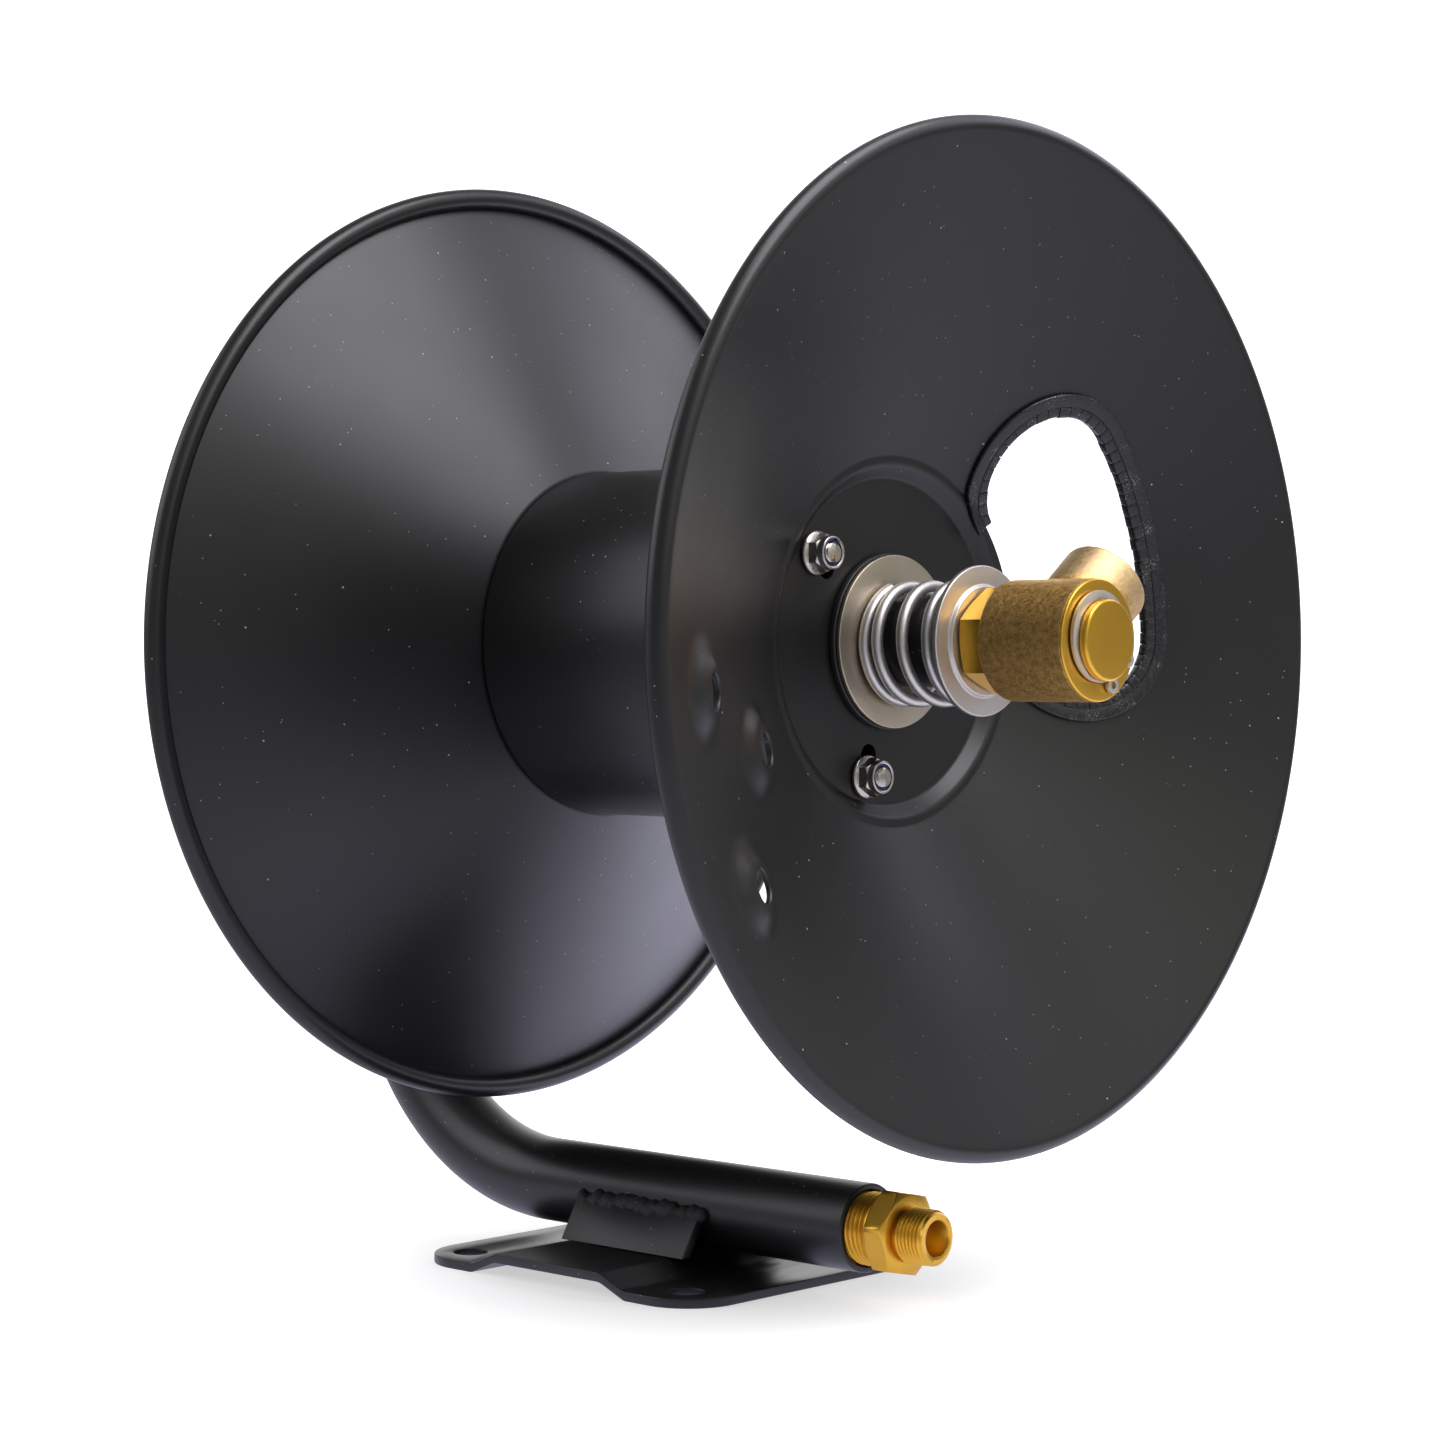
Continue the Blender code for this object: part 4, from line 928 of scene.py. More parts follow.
@dataclass
class Foot:
    """The hat-section foot plate, the two saddle plates on it and their welds."""

    tube: WaterTube
    thickness: float = 0.003
    rise: float = 0.0043
    centre: float = -0.0330
    half_length: float = 0.0615
    half_depth: float = 0.0540
    corner: float = 0.018
    bend: float = 0.006
    plateau: float = 0.0231
    foot_start: float = 0.0336
    hole_radius: float = 0.0055
    hole_x: float = 0.0475
    hole_y: float = 0.0410
    edge: float = 0.0004
    saddle_centre: float = -0.0310
    saddle_half: float = 0.0267
    saddle_thickness: float = 0.003
    saddle_lean: float = math.radians(30.5)
    saddle_face: float = 0.0132
    weld_pitch: float = 0.0019
    weld_radius: float = 0.0021
    weld_seed: int = 5

    def section(self) -> list[Point]:
        """Closed section of the bent plate, from its left end."""
        low = [
            (-self.half_length, 0, 0.0),
            (-self.foot_start, 0, self.bend - self.thickness / 2),
            (-self.plateau, self.rise, self.bend + self.thickness / 2),
            (self.plateau, self.rise, self.bend + self.thickness / 2),
            (self.foot_start, 0, self.bend - self.thickness / 2),
            (self.half_length, 0, 0.0),
        ]
        shift = self.thickness * math.tan(math.atan2(self.rise, self.foot_start - self.plateau) / 2)
        high = []
        for i, (x, z, radius) in enumerate(low):
            inner = i in (1, 2, 3, 4)
            side = 1 if x > 0 else -1
            swap = self.thickness if i in (1, 4) else -self.thickness
            high.append((x - side * shift * inner, z + self.thickness, radius + swap * inner))
        return rounded_loop(low + high[::-1], 8)

    def build_plate(self, shop: Workshop) -> None:
        """Makes the foot plate."""
        upright = Matrix.Translation((AXLE.x + self.centre, 0, 0))
        lay = upright @ Matrix.Rotation(QUARTER, 4, "X")
        wide = self.half_depth + CLEARANCE
        plate = prism_mesh("base_plate", self.section(), -wide, wide, lay)
        corners = [
            (side_x * self.half_length, side_y * self.half_depth, self.corner)
            for side_x, side_y in ((1, 1), (-1, 1), (-1, -1), (1, -1))
        ]
        reach = 4 * (self.rise + self.thickness)
        blank = prism_mesh("blank", rounded_loop(corners, 20), -reach, reach, upright)
        steps = [(Join.KEEP, blank)]
        for side_x in (-1, 1):
            for side_y in (-1, 1):
                centre = (side_x * self.hole_x, side_y * self.hole_y)
                hole = circle(centre, self.hole_radius, 48)
                steps.append((Join.CUT, prism_mesh("foot_hole", hole, -reach, reach, upright)))
        mesh = bevelled(combined(plate, steps), self.edge, 3)
        shop.add("foot_plate", mesh, Body.FRAME, "black_paint", ["base_plate"])

    def saddle_outline(self, side: int) -> list[Point]:
        """Section of a saddle plate in (y, z) from the lower run's axis; side is -1 at the front."""
        outward = Vector((math.cos(self.saddle_lean), math.sin(self.saddle_lean)))
        upward = Vector((-math.sin(self.saddle_lean), math.cos(self.saddle_lean)))
        inner = self.saddle_face - self.saddle_thickness
        top = -math.sqrt((self.tube.radius + CLEARANCE) ** 2 - inner**2)
        outline = []
        for distance in (inner, self.saddle_face):
            face = outward * distance
            foot = face + upward * (-self.tube.radius - face.y) / upward.y
            ends = [foot, face + upward * top]
            outline += ends if not outline else ends[::-1]
        return [(side * point.x, point.y) for point in outline]

    def build_saddles(self, shop: Workshop) -> None:
        """Makes the saddle plates and the weld along the top of each."""
        line = self.tube.lower_line
        start, end = self.saddle_centre - self.saddle_half, self.saddle_centre + self.saddle_half
        for name, side in (("front", -1), ("rear", 1)):
            outline = self.saddle_outline(side)
            mesh = prism_mesh(f"saddle_{name}", outline, start, end, line.placing)
            mesh = bevelled(mesh, self.edge, 3)
            shop.add(f"saddle_plate_{name}", mesh, Body.FRAME, "black_paint", [f"saddle_{name}"])
            inner_top, outer_top = outline[1], outline[2]
            middle = Vector(inner_top).lerp(Vector(outer_top), 0.45) + Vector((0, 0.0008))
            self.build_weld(shop, name, line, middle)

    def build_weld(self, shop: Workshop, name: str, line: Axis, seat: Vector) -> None:
        """Makes the lumpy weld along the top of a saddle plate.

        Args:
            shop: The shared finishes and trees.
            name: Which saddle it is on.
            line: Axis of the lower run.
            seat: Where the weld lies in the saddle's section.
        """
        work = bmesh.new()
        bmesh.ops.create_icosphere(work, subdivisions=2, radius=self.weld_radius)
        bmesh.ops.scale(work, verts=work.verts, vec=(1.1, 1.35, 0.85))
        bead = bpy.data.meshes.new("bead")
        work.to_mesh(bead)
        work.free()
        run = 2 * self.saddle_half
        count = round(run / self.weld_pitch) + 1
        values = {
            "Count": count,
            "Pitch": run / (count - 1),
            "Seed": self.weld_seed,
            "Size Jitter": (0.30, 0.32, 0.25),
            "Place Jitter": (0.0006, 0.0007, 0.0003),
            "Finish": shop.finishes["black_weld"],
        }
        lumps = shop.row.apply(bead, values)
        lean = -self.saddle_lean if seat.x < 0 else self.saddle_lean
        stand = Matrix.Rotation(-QUARTER, 4, "Y") @ Matrix.Rotation(lean, 4, "X")
        place = Matrix.Translation((seat.x, seat.y, self.saddle_centre - self.saddle_half))
        lumps.transform(line.placing @ place @ stand)
        mesh = remeshed(lumps, 0.0004, 1)
        shop.add(f"saddle_weld_{name}", mesh, Body.FRAME, "black_paint", [], "black_weld")

    def build(self, shop: Workshop) -> None:
        """Makes the plate, the saddles and the welds."""
        self.build_plate(shop)
        self.build_saddles(shop)


@dataclass
class InletNipple:
    """The brass nipple in the lower run: a large thread, a hexagon and a taper thread."""

    tube: WaterTube
    spigot: float = 0.0111
    spigot_start: float = 0.0300
    hex_flats: float = 0.0237
    hex_start: float = 0.0588
    hex_end: float = 0.0668
    hex_turn: float = math.radians(18)
    thread: float = 0.00855
    end: float = 0.0775
    chamfer: float = 0.0009
    bore: float = 0.0053
    undercut: float = 0.0013
    spigot_pitch: float = 0.001814
    thread_pitch: float = 0.001337
    segments: int = 120

    @property
    def hexagon(self) -> Hexagon:
        """The nipple's hexagon."""
        return Hexagon(self.hex_flats, self.hex_start, self.hex_end)

    def profile(self) -> list[Point]:
        """Closed profile, with rings close enough for the threads."""
        fine = 0.00012
        rows = [(self.bore, self.spigot_start), (self.spigot, self.spigot_start)]
        rows += stretch(self.spigot, self.spigot, self.tube.lower_end - 0.002, self.hex_start - 0.0004, fine)
        rows += [(self.spigot - 0.0006, self.hex_start - 0.0003), (self.spigot - 0.0006, self.hex_start)]
        rows += self.hexagon.rows(math.radians(30), (0.97, 0.95), (8, 10))
        neck = self.thread - 0.0009
        rows += [(neck, self.hex_end), (neck, self.hex_end + self.undercut * 0.5)]
        thread_start = self.hex_end + self.undercut
        rows += stretch(self.thread, self.thread - 0.00025, thread_start, self.end - self.chamfer, fine)
        rows += [(self.thread - self.chamfer, self.end), (self.bore + 0.0004, self.end)]
        rows += [(self.bore, self.end - 0.0004)]
        return rows

    def build(self, shop: Workshop) -> None:
        """Makes the nipple and cuts both threads."""
        mesh = turned_mesh("inlet_fitting", self.profile(), self.segments, None, self.hexagon)
        large = (self.tube.lower_end - 0.004, self.hex_start - 0.0004)
        taper = (self.hex_end + self.undercut * 0.8, self.end + 0.001)
        cuts = (
            (large, self.spigot_pitch, 0.0010, self.spigot * 0.9),
            (taper, self.thread_pitch, 0.00078, self.thread * 0.85),
        )
        for cut in cuts:
            mesh = shop.cut_thread(mesh, *cut, "turned_brass_inlet")
        mesh.transform(self.tube.lower_line.placing @ Matrix.Rotation(self.hex_turn, 4, "Z"))
        welded(mesh)
        shop.add("inlet_nipple", mesh, Body.FRAME, "turned_brass", ["inlet_fitting"], sharp=math.radians(50))


@dataclass
class AxleRings:
    """Collar, washers and drag spring that hold the drum along the axle."""

    tube: WaterTube
    washer: float = 0.0258
    bush_face: float = 0.0598
    washer_face: float = 0.0614
    collar: float = 0.0205
    collar_length: float = 0.006
    cup: float = 0.0220
    cup_bore: float = 0.0114
    cup_face: float = 0.0943
    cup_step: float = 0.0165
    cup_lift: float = 0.0012
    cup_thickness: float = 0.0016
    wire: float = 0.00175
    mean: float = 0.0170
    sag: float = 0.0007
    turns: tuple[float, float, float, float] = (0.2, 1.0, 2.0, 0.8)
    pitches: Place = (0.0048, 0.0094, 0.0045)
    start_angle: float = math.radians(108)
    segments: int = 128

    def ring(self, bore: float, radius: float, start: float, end: float, edge: float) -> list[Point]:
        """Closed profile of a plain ring with rounded edges."""
        low, high = min(start, end), max(start, end)
        corners = [(bore, low, edge / 2), (radius, low, edge), (radius, high, edge), (bore, high, edge / 2)]
        return rounded_loop(corners, 4)

    def build(self, shop: Workshop) -> None:
        """Makes the rings and the spring."""
        bore = self.tube.radius + CLEARANCE
        inner = self.bush_face + CLEARANCE
        away = -self.washer_face - CLEARANCE
        steel, paint = "bright_steel", "black_paint"
        hub = self.ring(bore, self.washer, inner, self.washer_face, 0.0003)
        thrust = self.ring(bore, self.washer, -inner, -self.washer_face, 0.0003)
        collar = self.ring(bore, self.collar, away, away - self.collar_length, 0.0006)
        rings = (
            ("hub_washer", hub, steel, "washer_steel"),
            ("thrust_washer", thrust, steel, "washer_steel"),
            ("thrust_collar", collar, paint, paint),
            ("cup_washer", self.cup_profile(), steel, steel),
        )
        for name, profile, slot, finish in rings:
            mesh = turned_mesh(name, profile, self.segments, AXLE.placing)
            shop.add(f"{name}_ring", mesh, Body.FRAME, slot, [name], finish)
        self.build_spring(shop)

    def cup_profile(self) -> list[Point]:
        """Closed profile of the cup washer: a pressed-out middle inside a flat, rounded rim."""
        back = self.cup_face - self.cup_thickness
        wall = self.cup_step - self.cup_thickness
        corners = [
            (self.cup_bore, back + self.cup_lift, 0.0001),
            (wall - self.cup_lift / 2, back + self.cup_lift, 0.0003),
            (wall, back, 0.0003),
            (self.cup, back, 0.0003),
            (self.cup, self.cup_face, 0.0005),
            (self.cup_step, self.cup_face, 0.0005),
            (self.cup_step - self.cup_lift / 2, self.cup_face + self.cup_lift, 0.0005),
            (self.cup_bore, self.cup_face + self.cup_lift, 0.0001),
        ]
        return rounded_loop(corners, 5)

    def build_spring(self, shop: Workshop) -> None:
        """Winds the drag spring between the hub washer and the cup washer."""
        dead, first, opened, last = self.turns
        first_pitch, open_pitch, last_pitch = self.pitches
        values = {
            "Start": self.washer_face + CLEARANCE + self.wire,
            "Mean Radius": self.mean,
            "Wire Radius": self.wire,
            "Dead Turns": dead,
            "First Turns": first,
            "Open Turns": opened,
            "Last Turns": last,
            "First Pitch": first_pitch,
            "Open Pitch": open_pitch,
            "Last Pitch": last_pitch,
            "Start Angle": self.start_angle,
            "Points": 400,
            "Finish": shop.finishes["spring_steel"],
        }
        mesh = shop.spring.apply(bpy.data.meshes.new("drag_spring"), values)
        mesh.transform(AXLE.placing @ Matrix.Translation((0, -self.sag, 0)))
        welded(mesh)
        shop.add("drag_spring_wire", mesh, Body.FRAME, "bright_steel", ["drag_spring"])


@dataclass
class Drum:
    """Pressed flanges, barrel and bushes."""

    disc: float = 0.150
    sheet: float = 0.0015
    bead: float = 0.00325
    slope: float = math.radians(27)
    hub_bore: float = 0.0188
    hub_floor: float = 0.0576
    hub_ring: float = 0.0613
    wall_foot: float = 0.0490
    wall_top: float = 0.0530
    ring_radius: float = 0.0553
    fillet: float = 0.0023
    barrel: float = 0.0550
    barrel_wall: float = 0.0020
    pads: tuple[Point, ...] = ((0.1199, -173.2), (0.0846, -158.5), (0.1204, -146.1))
    pad_base: float = 0.0150
    pad_top: float = 0.0058
    pad_height: float = 0.0034
    pad_hole: float = 0.0047
    hole_angle: float = math.radians(20.8)
    hole_sweep: float = math.radians(19.5)
    hole_mean: float = 0.0772
    hole_half: float = 0.0216
    tie_degrees: Place = (19.0, 141.7, 256.2)
    slot_inner: float = 0.0347
    slot_outer: float = 0.0412
    slot_half: float = 0.0034
    bush_bore: float = 0.01380
    bush_sleeve: float = 0.0184
    bush_start: float = 0.0420
    bush_flange: float = 0.0264
    bush_face: float = 0.0598
    segments: int = 360

    def cone(self, radius: float) -> float:
        """Place along the axle of the sheet's middle at a radius, ring and cone alike."""
        ring = self.hub_ring - self.sheet / 2
        reach = self.fillet * math.tan(self.slope / 2)
        past = radius - self.ring_radius
        if past <= -reach:
            return ring
        if past < reach:
            return ring + (past + reach) ** 2 * math.tan(self.slope) / (4 * reach)
        return ring + past * math.tan(self.slope)

    def lean(self, radius: float) -> Vector:
        """Outward direction square to the sheet at a radius, as (radius, along)."""
        small = 1e-5
        rise = (self.cone(radius + small) - self.cone(radius - small)) / (2 * small)
        return Vector((-rise, 1.0)).normalized()

    def middle(self, spacing: float) -> list[Point]:
        """Middle line of the sheet from the hub bore to the rim, with points at a spacing."""
        floor = self.hub_floor - self.sheet / 2
        ring = self.hub_ring - self.sheet / 2
        outward = Vector((math.cos(self.slope), math.sin(self.slope)))
        proud = Vector((-math.sin(self.slope), math.cos(self.slope)))
        foot = Vector((self.ring_radius, ring))
        rim = self.disc - self.bead
        reach = (rim - foot.x + (self.bead - self.sheet / 2) * proud.x) / outward.x
        end = foot + outward * reach
        corners = [
            (self.hub_bore, floor, 0.0),
            (self.wall_foot, floor, self.fillet),
            (self.wall_top, ring, self.fillet),
            (self.ring_radius, ring, self.fillet),
            (end.x, end.y, 0.0),
        ]
        bent = rounded_loop(corners, 8)
        line = [bent[0]]
        for before, after in zip(bent, bent[1:]):
            length = math.dist(before, after)
            count = max(1, round(length / spacing))
            for i in range(1, count + 1):
                share = i / count
                line.append(tuple(Vector(before).lerp(Vector(after), share)))
        return line

    def profile(self, spacing: float) -> list[Point]:
        """Closed profile of a flange: hub, cone and curled rim."""
        line = self.middle(spacing)
        faces: list[list[Point]] = [[], []]
        for i, point in enumerate(line):
            before = Vector(line[max(i - 1, 0)])
            after = Vector(line[min(i + 1, len(line) - 1)])
            way = (after - before).normalized()
            left = Vector((-way.y, way.x))
            for face, side in zip(faces, (1, -1)):
                face.append(tuple(Vector(point) + left * side * self.sheet / 2))
        proud = Vector((-math.sin(self.slope), math.cos(self.slope)))
        rim = Vector(line[-1]) - proud * (self.bead - self.sheet / 2)
        start = math.atan2(proud.y, proud.x)
        meets = math.acos((self.bead - self.sheet) / self.bead)
        curl = arc(rim, self.bead, start, start - (math.tau - meets * 1.12), 36)
        return faces[0][:-1] + curl + faces[1][-2::-1]

    def raise_pads(self, mesh: Mesh) -> None:
        """Lifts the sheet smoothly into the three pads."""
        for radius, degrees in self.pads:
            angle = math.radians(degrees)
            lean = self.lean(radius)
            up = Vector((*polar(lean.x, angle), lean.y))
            centre = Vector((*polar(radius, angle), self.cone(radius)))
            for vertex in mesh.vertices:
                away = vertex.co - centre
                height = away.dot(up)
                distance = (away - up * height).length
                if distance < self.pad_base and abs(height) < self.pad_height:
                    share = min(1.0, (self.pad_base - distance) / (self.pad_base - self.pad_top))
                    vertex.co += up * self.pad_height * (share * share * (3 - 2 * share))

    def pad_hole_tool(self, radius: float, degrees: float) -> Mesh:
        """Cutter for a pad's hole, flared where it leaves the pad's top."""
        angle = math.radians(degrees)
        flare = 0.0005
        top = self.pad_height + self.sheet / 2
        rows = [
            (0.0, -3 * top),
            (self.pad_hole, -3 * top),
            (self.pad_hole, top - flare),
            (self.pad_hole + flare * 0.25, top - flare * 0.5),
            (self.pad_hole + flare, top),
            (self.pad_hole + flare, 2 * top),
            (0.0, 2 * top),
        ]
        place = (
            Matrix.Rotation(angle, 4, "Z")
            @ Matrix.Translation((radius, 0, self.cone(radius)))
            @ Matrix.Rotation(-self.slope, 4, "Y")
        )
        return turned_mesh("pad_hole", rows, 48, place)

    def kidney(self, half: float, steps: int = 40) -> list[Point]:
        """Outline of the hose hole, or of a shape evenly larger or smaller."""
        first, last = self.hole_angle - self.hole_sweep, self.hole_angle + self.hole_sweep
        outer = arc((0, 0), self.hole_mean + half, first, last, steps)
        inner = arc((0, 0), self.hole_mean - half, last, first, steps)
        top_end = arc(polar(self.hole_mean, last), half, last, last + math.pi, steps)
        bottom_end = arc(polar(self.hole_mean, first), half, first + math.pi, first + math.tau, steps)
        return outer[:-1] + top_end + inner[1:-1] + bottom_end[:-1]

    def slot_tools(self, along: float) -> list[tuple[Join, Mesh]]:
        """Cutters for the three radial slots of the tie studs."""
        tools = []
        for degrees in self.tie_degrees:
            outline = arc((self.slot_outer, 0), self.slot_half, -QUARTER, QUARTER, 16)
            outline += arc((self.slot_inner, 0), self.slot_half, QUARTER, 3 * QUARTER, 16)
            turn = Matrix.Rotation(math.radians(degrees), 4, "Z")
            place = turn @ Matrix.Translation((0, 0, along))
            tools.append((Join.CUT, prism_mesh("slot", outline, -2 * self.sheet, 2 * self.sheet, place)))
        return tools

    def build_flanges(self, shop: Workshop) -> None:
        """Makes both flanges; the swivel side has the hose hole and the pads."""
        floor = self.hub_floor - self.sheet / 2
        right = turned_mesh("flange_right", self.profile(0.002), self.segments)
        self.raise_pads(right)
        steps = [(Join.CUT, self.pad_hole_tool(*pad)) for pad in self.pads]
        depth = 0.036
        along = self.cone(self.hole_mean)
        kidney = prism_mesh("hose_hole", self.kidney(self.hole_half), along - depth, along + depth)
        steps += [(Join.CUT, kidney), *self.slot_tools(floor)]
        right = combined(right, steps)
        mirrored = [(radius, -place) for radius, place in self.profile(0.012)]
        left = combined(turned_mesh("flange_left", mirrored, self.segments), self.slot_tools(-floor))
        for side, mesh in ((Side.RIGHT, right), (Side.LEFT, left)):
            mesh.transform(AXLE.placing)
            name = f"flange_{side.label}"
            shop.add(f"pressed_{name}", mesh, Body.DRUM, "black_paint", [name], sharp=math.radians(30))

    def build_barrel(self, shop: Workshop) -> None:
        """Makes the barrel and the two bushes."""
        half = self.hub_ring - self.sheet - CLEARANCE
        inner = self.barrel - self.barrel_wall
        edge = 0.0004
        ends = ((inner, -half), (self.barrel, -half), (self.barrel, half), (inner, half))
        corners = [(radius, along, edge) for radius, along in ends]
        mesh = turned_mesh("barrel", rounded_loop(corners, 3), 240, AXLE.placing)
        shop.add("barrel_tube", mesh, Body.DRUM, "black_paint", ["barrel"])
        for side in Side:
            seat = self.hub_floor + CLEARANCE
            corners = [
                (self.bush_bore, self.bush_start, 0.0003),
                (self.bush_sleeve, self.bush_start, 0.0008),
                (self.bush_sleeve, seat, 0.0002),
                (self.bush_flange, seat, 0.0002),
                (self.bush_flange, self.bush_face, 0.0006),
                (self.bush_bore, self.bush_face, 0.0004),
            ]
            profile = [(radius, side.value * along) for radius, along in rounded_loop(corners, 5)]
            mesh = turned_mesh("bush", profile, 128, AXLE.placing)
            name = f"bush_{side.label}"
            shop.add(f"flanged_{name}", mesh, Body.DRUM, "black_plastic", [name])

    def build(self, shop: Workshop) -> None:
        """Makes the flanges, the barrel and the bushes."""
        self.build_flanges(shop)
        self.build_barrel(shop)


@dataclass
class HoleTrim:
    """Push-on trim round the hose hole: a smooth channel with a row of cut fingers over it."""

    drum: Drum
    bulb: float = 0.0022
    lip: float = 0.0049
    half: float = 0.0023
    pitch: float = 0.0038
    slit: float = 0.00014
    finger_reach: float = -0.0012
    seed: int = 11
    row_steps: int = 180

    def route(self) -> list[tuple[Point, Point]]:
        """Points along the covered edge of the hole, each with the direction into the hole."""
        drum = self.drum
        first, last = drum.hole_angle - drum.hole_sweep, drum.hole_angle + drum.hole_sweep
        mean, half = drum.hole_mean, drum.hole_half
        steps = 120

        def turned(centre: Point, begin: float) -> list[tuple[Point, Point]]:
            """Half a turn round one end of the hole."""
            ways = [begin - math.pi * i / steps for i in range(steps + 1)]
            points = arc(centre, half, begin, begin - math.pi, steps)
            return [(point, polar(-1.0, way)) for point, way in zip(points, ways)]

        top = turned(polar(mean, last), last + math.pi)
        bottom = turned(polar(mean, first), first)
        angles = [last + (first - last) * i / steps for i in range(1, steps)]
        outer = [(polar(mean + half, angle), polar(-1.0, angle)) for angle in angles]
        return top + outer + bottom

    def mapped(self, mesh: Mesh) -> Mesh:
        """Lays a straight strip along the edge of the hole.

        Args:
            mesh: The strip: X along the edge, Y into the hole, Z square to the sheet.

        Returns:
            The same mesh, in place.
        """
        line = self.route()
        lengths = [0.0]
        for (before, _), (after, _) in zip(line, line[1:]):
            lengths.append(lengths[-1] + math.dist(before, after))
        for vertex in mesh.vertices:
            along, into, height = vertex.co
            along = min(max(along, 0.0), lengths[-1] - 1e-7)
            low = next(i for i in range(len(lengths) - 1) if lengths[i + 1] > along)
            share = (along - lengths[low]) / (lengths[low + 1] - lengths[low])
            point = Vector(line[low][0]).lerp(Vector(line[low + 1][0]), share)
            inward = Vector(line[low][1]).lerp(Vector(line[low + 1][1]), share).normalized()
            plan = point + inward * into
            radius = plan.length
            lean = self.drum.lean(radius)
            far = radius + lean.x * height
            out = plan.normalized()
            vertex.co = (out.x * far, out.y * far, self.drum.cone(radius) + lean.y * height)
        mesh.transform(AXLE.placing)
        return welded(mesh)

    def length(self) -> float:
        """Length of the covered edge."""
        line = self.route()
        return sum(math.dist(a[0], b[0]) for a, b in zip(line, line[1:]))

    def strip(self, name: str, section: list[Point], start: float, end: float, steps: int) -> Mesh:
        """A section drawn out along X, with closed ends."""
        count = len(section)
        points = []
        for step in range(steps + 1):
            x = start + (end - start) * step / steps
            points += [(x, y, z) for y, z in section]
        faces = ring_faces([(row, row + 1) for row in range(steps)], count)
        faces += [tuple(range(count)), tuple(range(steps * count, (steps + 1) * count))]
        return mesh_from(name, points, faces)

    def build(self, shop: Workshop) -> None:
        """Makes the trim."""
        groove = self.drum.sheet / 2 + 0.00022
        low, inner = self.half - 0.0004, self.finger_reach
        channel = [
            (-self.lip, groove, 0.0001),
            (-self.lip, self.half - 0.0001, 0.0007),
            (inner, self.half - 0.0001, 0.0001),
            (inner + 0.0001, low, 0.0001),
            (self.bulb - 0.0006, low, 0.0009),
        ]
        mirrored = [(y, -z, radius) for y, z, radius in channel[::-1]]
        floor = [(0.0003, -groove, 0.0002), (0.0003, groove, 0.0002)]
        section = rounded_loop(channel + mirrored + floor, 4)
        core = self.strip("channel", section, 0.0, self.length(), self.row_steps)
        reach = inner + 0.00012
        finger = [
            (reach, groove + 0.0005, 0.0),
            (reach, self.half - 0.0001, 0.0004),
            (self.bulb, self.half, 0.0011),
            (self.bulb, -self.half, 0.0011),
            (reach, -self.half + 0.0001, 0.0004),
            (reach, -groove - 0.0005, 0.0),
            (0.0006, -groove - 0.0005, 0.0),
            (0.0006, groove + 0.0005, 0.0),
        ]
        count = round(self.length() / self.pitch)
        pitch = self.length() / count
        piece = self.strip("finger", rounded_loop(finger, 4), self.slit / 2, pitch - self.slit / 2, 3)
        piece = bevelled(piece, 0.00014, 2, math.radians(60))
        values = {
            "Count": count,
            "Pitch": pitch,
            "Seed": self.seed,
            "Size Jitter": (0.0, 0.06, 0.03),
            "Place Jitter": (0.00006, 0.00012, 0.00004),
            "Finish": shop.finishes["black_plastic_trim"],
        }
        fingers = shop.row.apply(piece, values)
        core.materials.append(shop.finishes["black_plastic_trim"])
        meshes = [self.mapped(core), self.mapped(fingers)]
        mesh = joined_mesh("hose_hole_trim", meshes)
        mesh.materials.append(shop.finishes["black_plastic_trim"])
        shop.add("slit_edge_trim", mesh, Body.DRUM, "black_plastic", ["hose_hole_trim"])


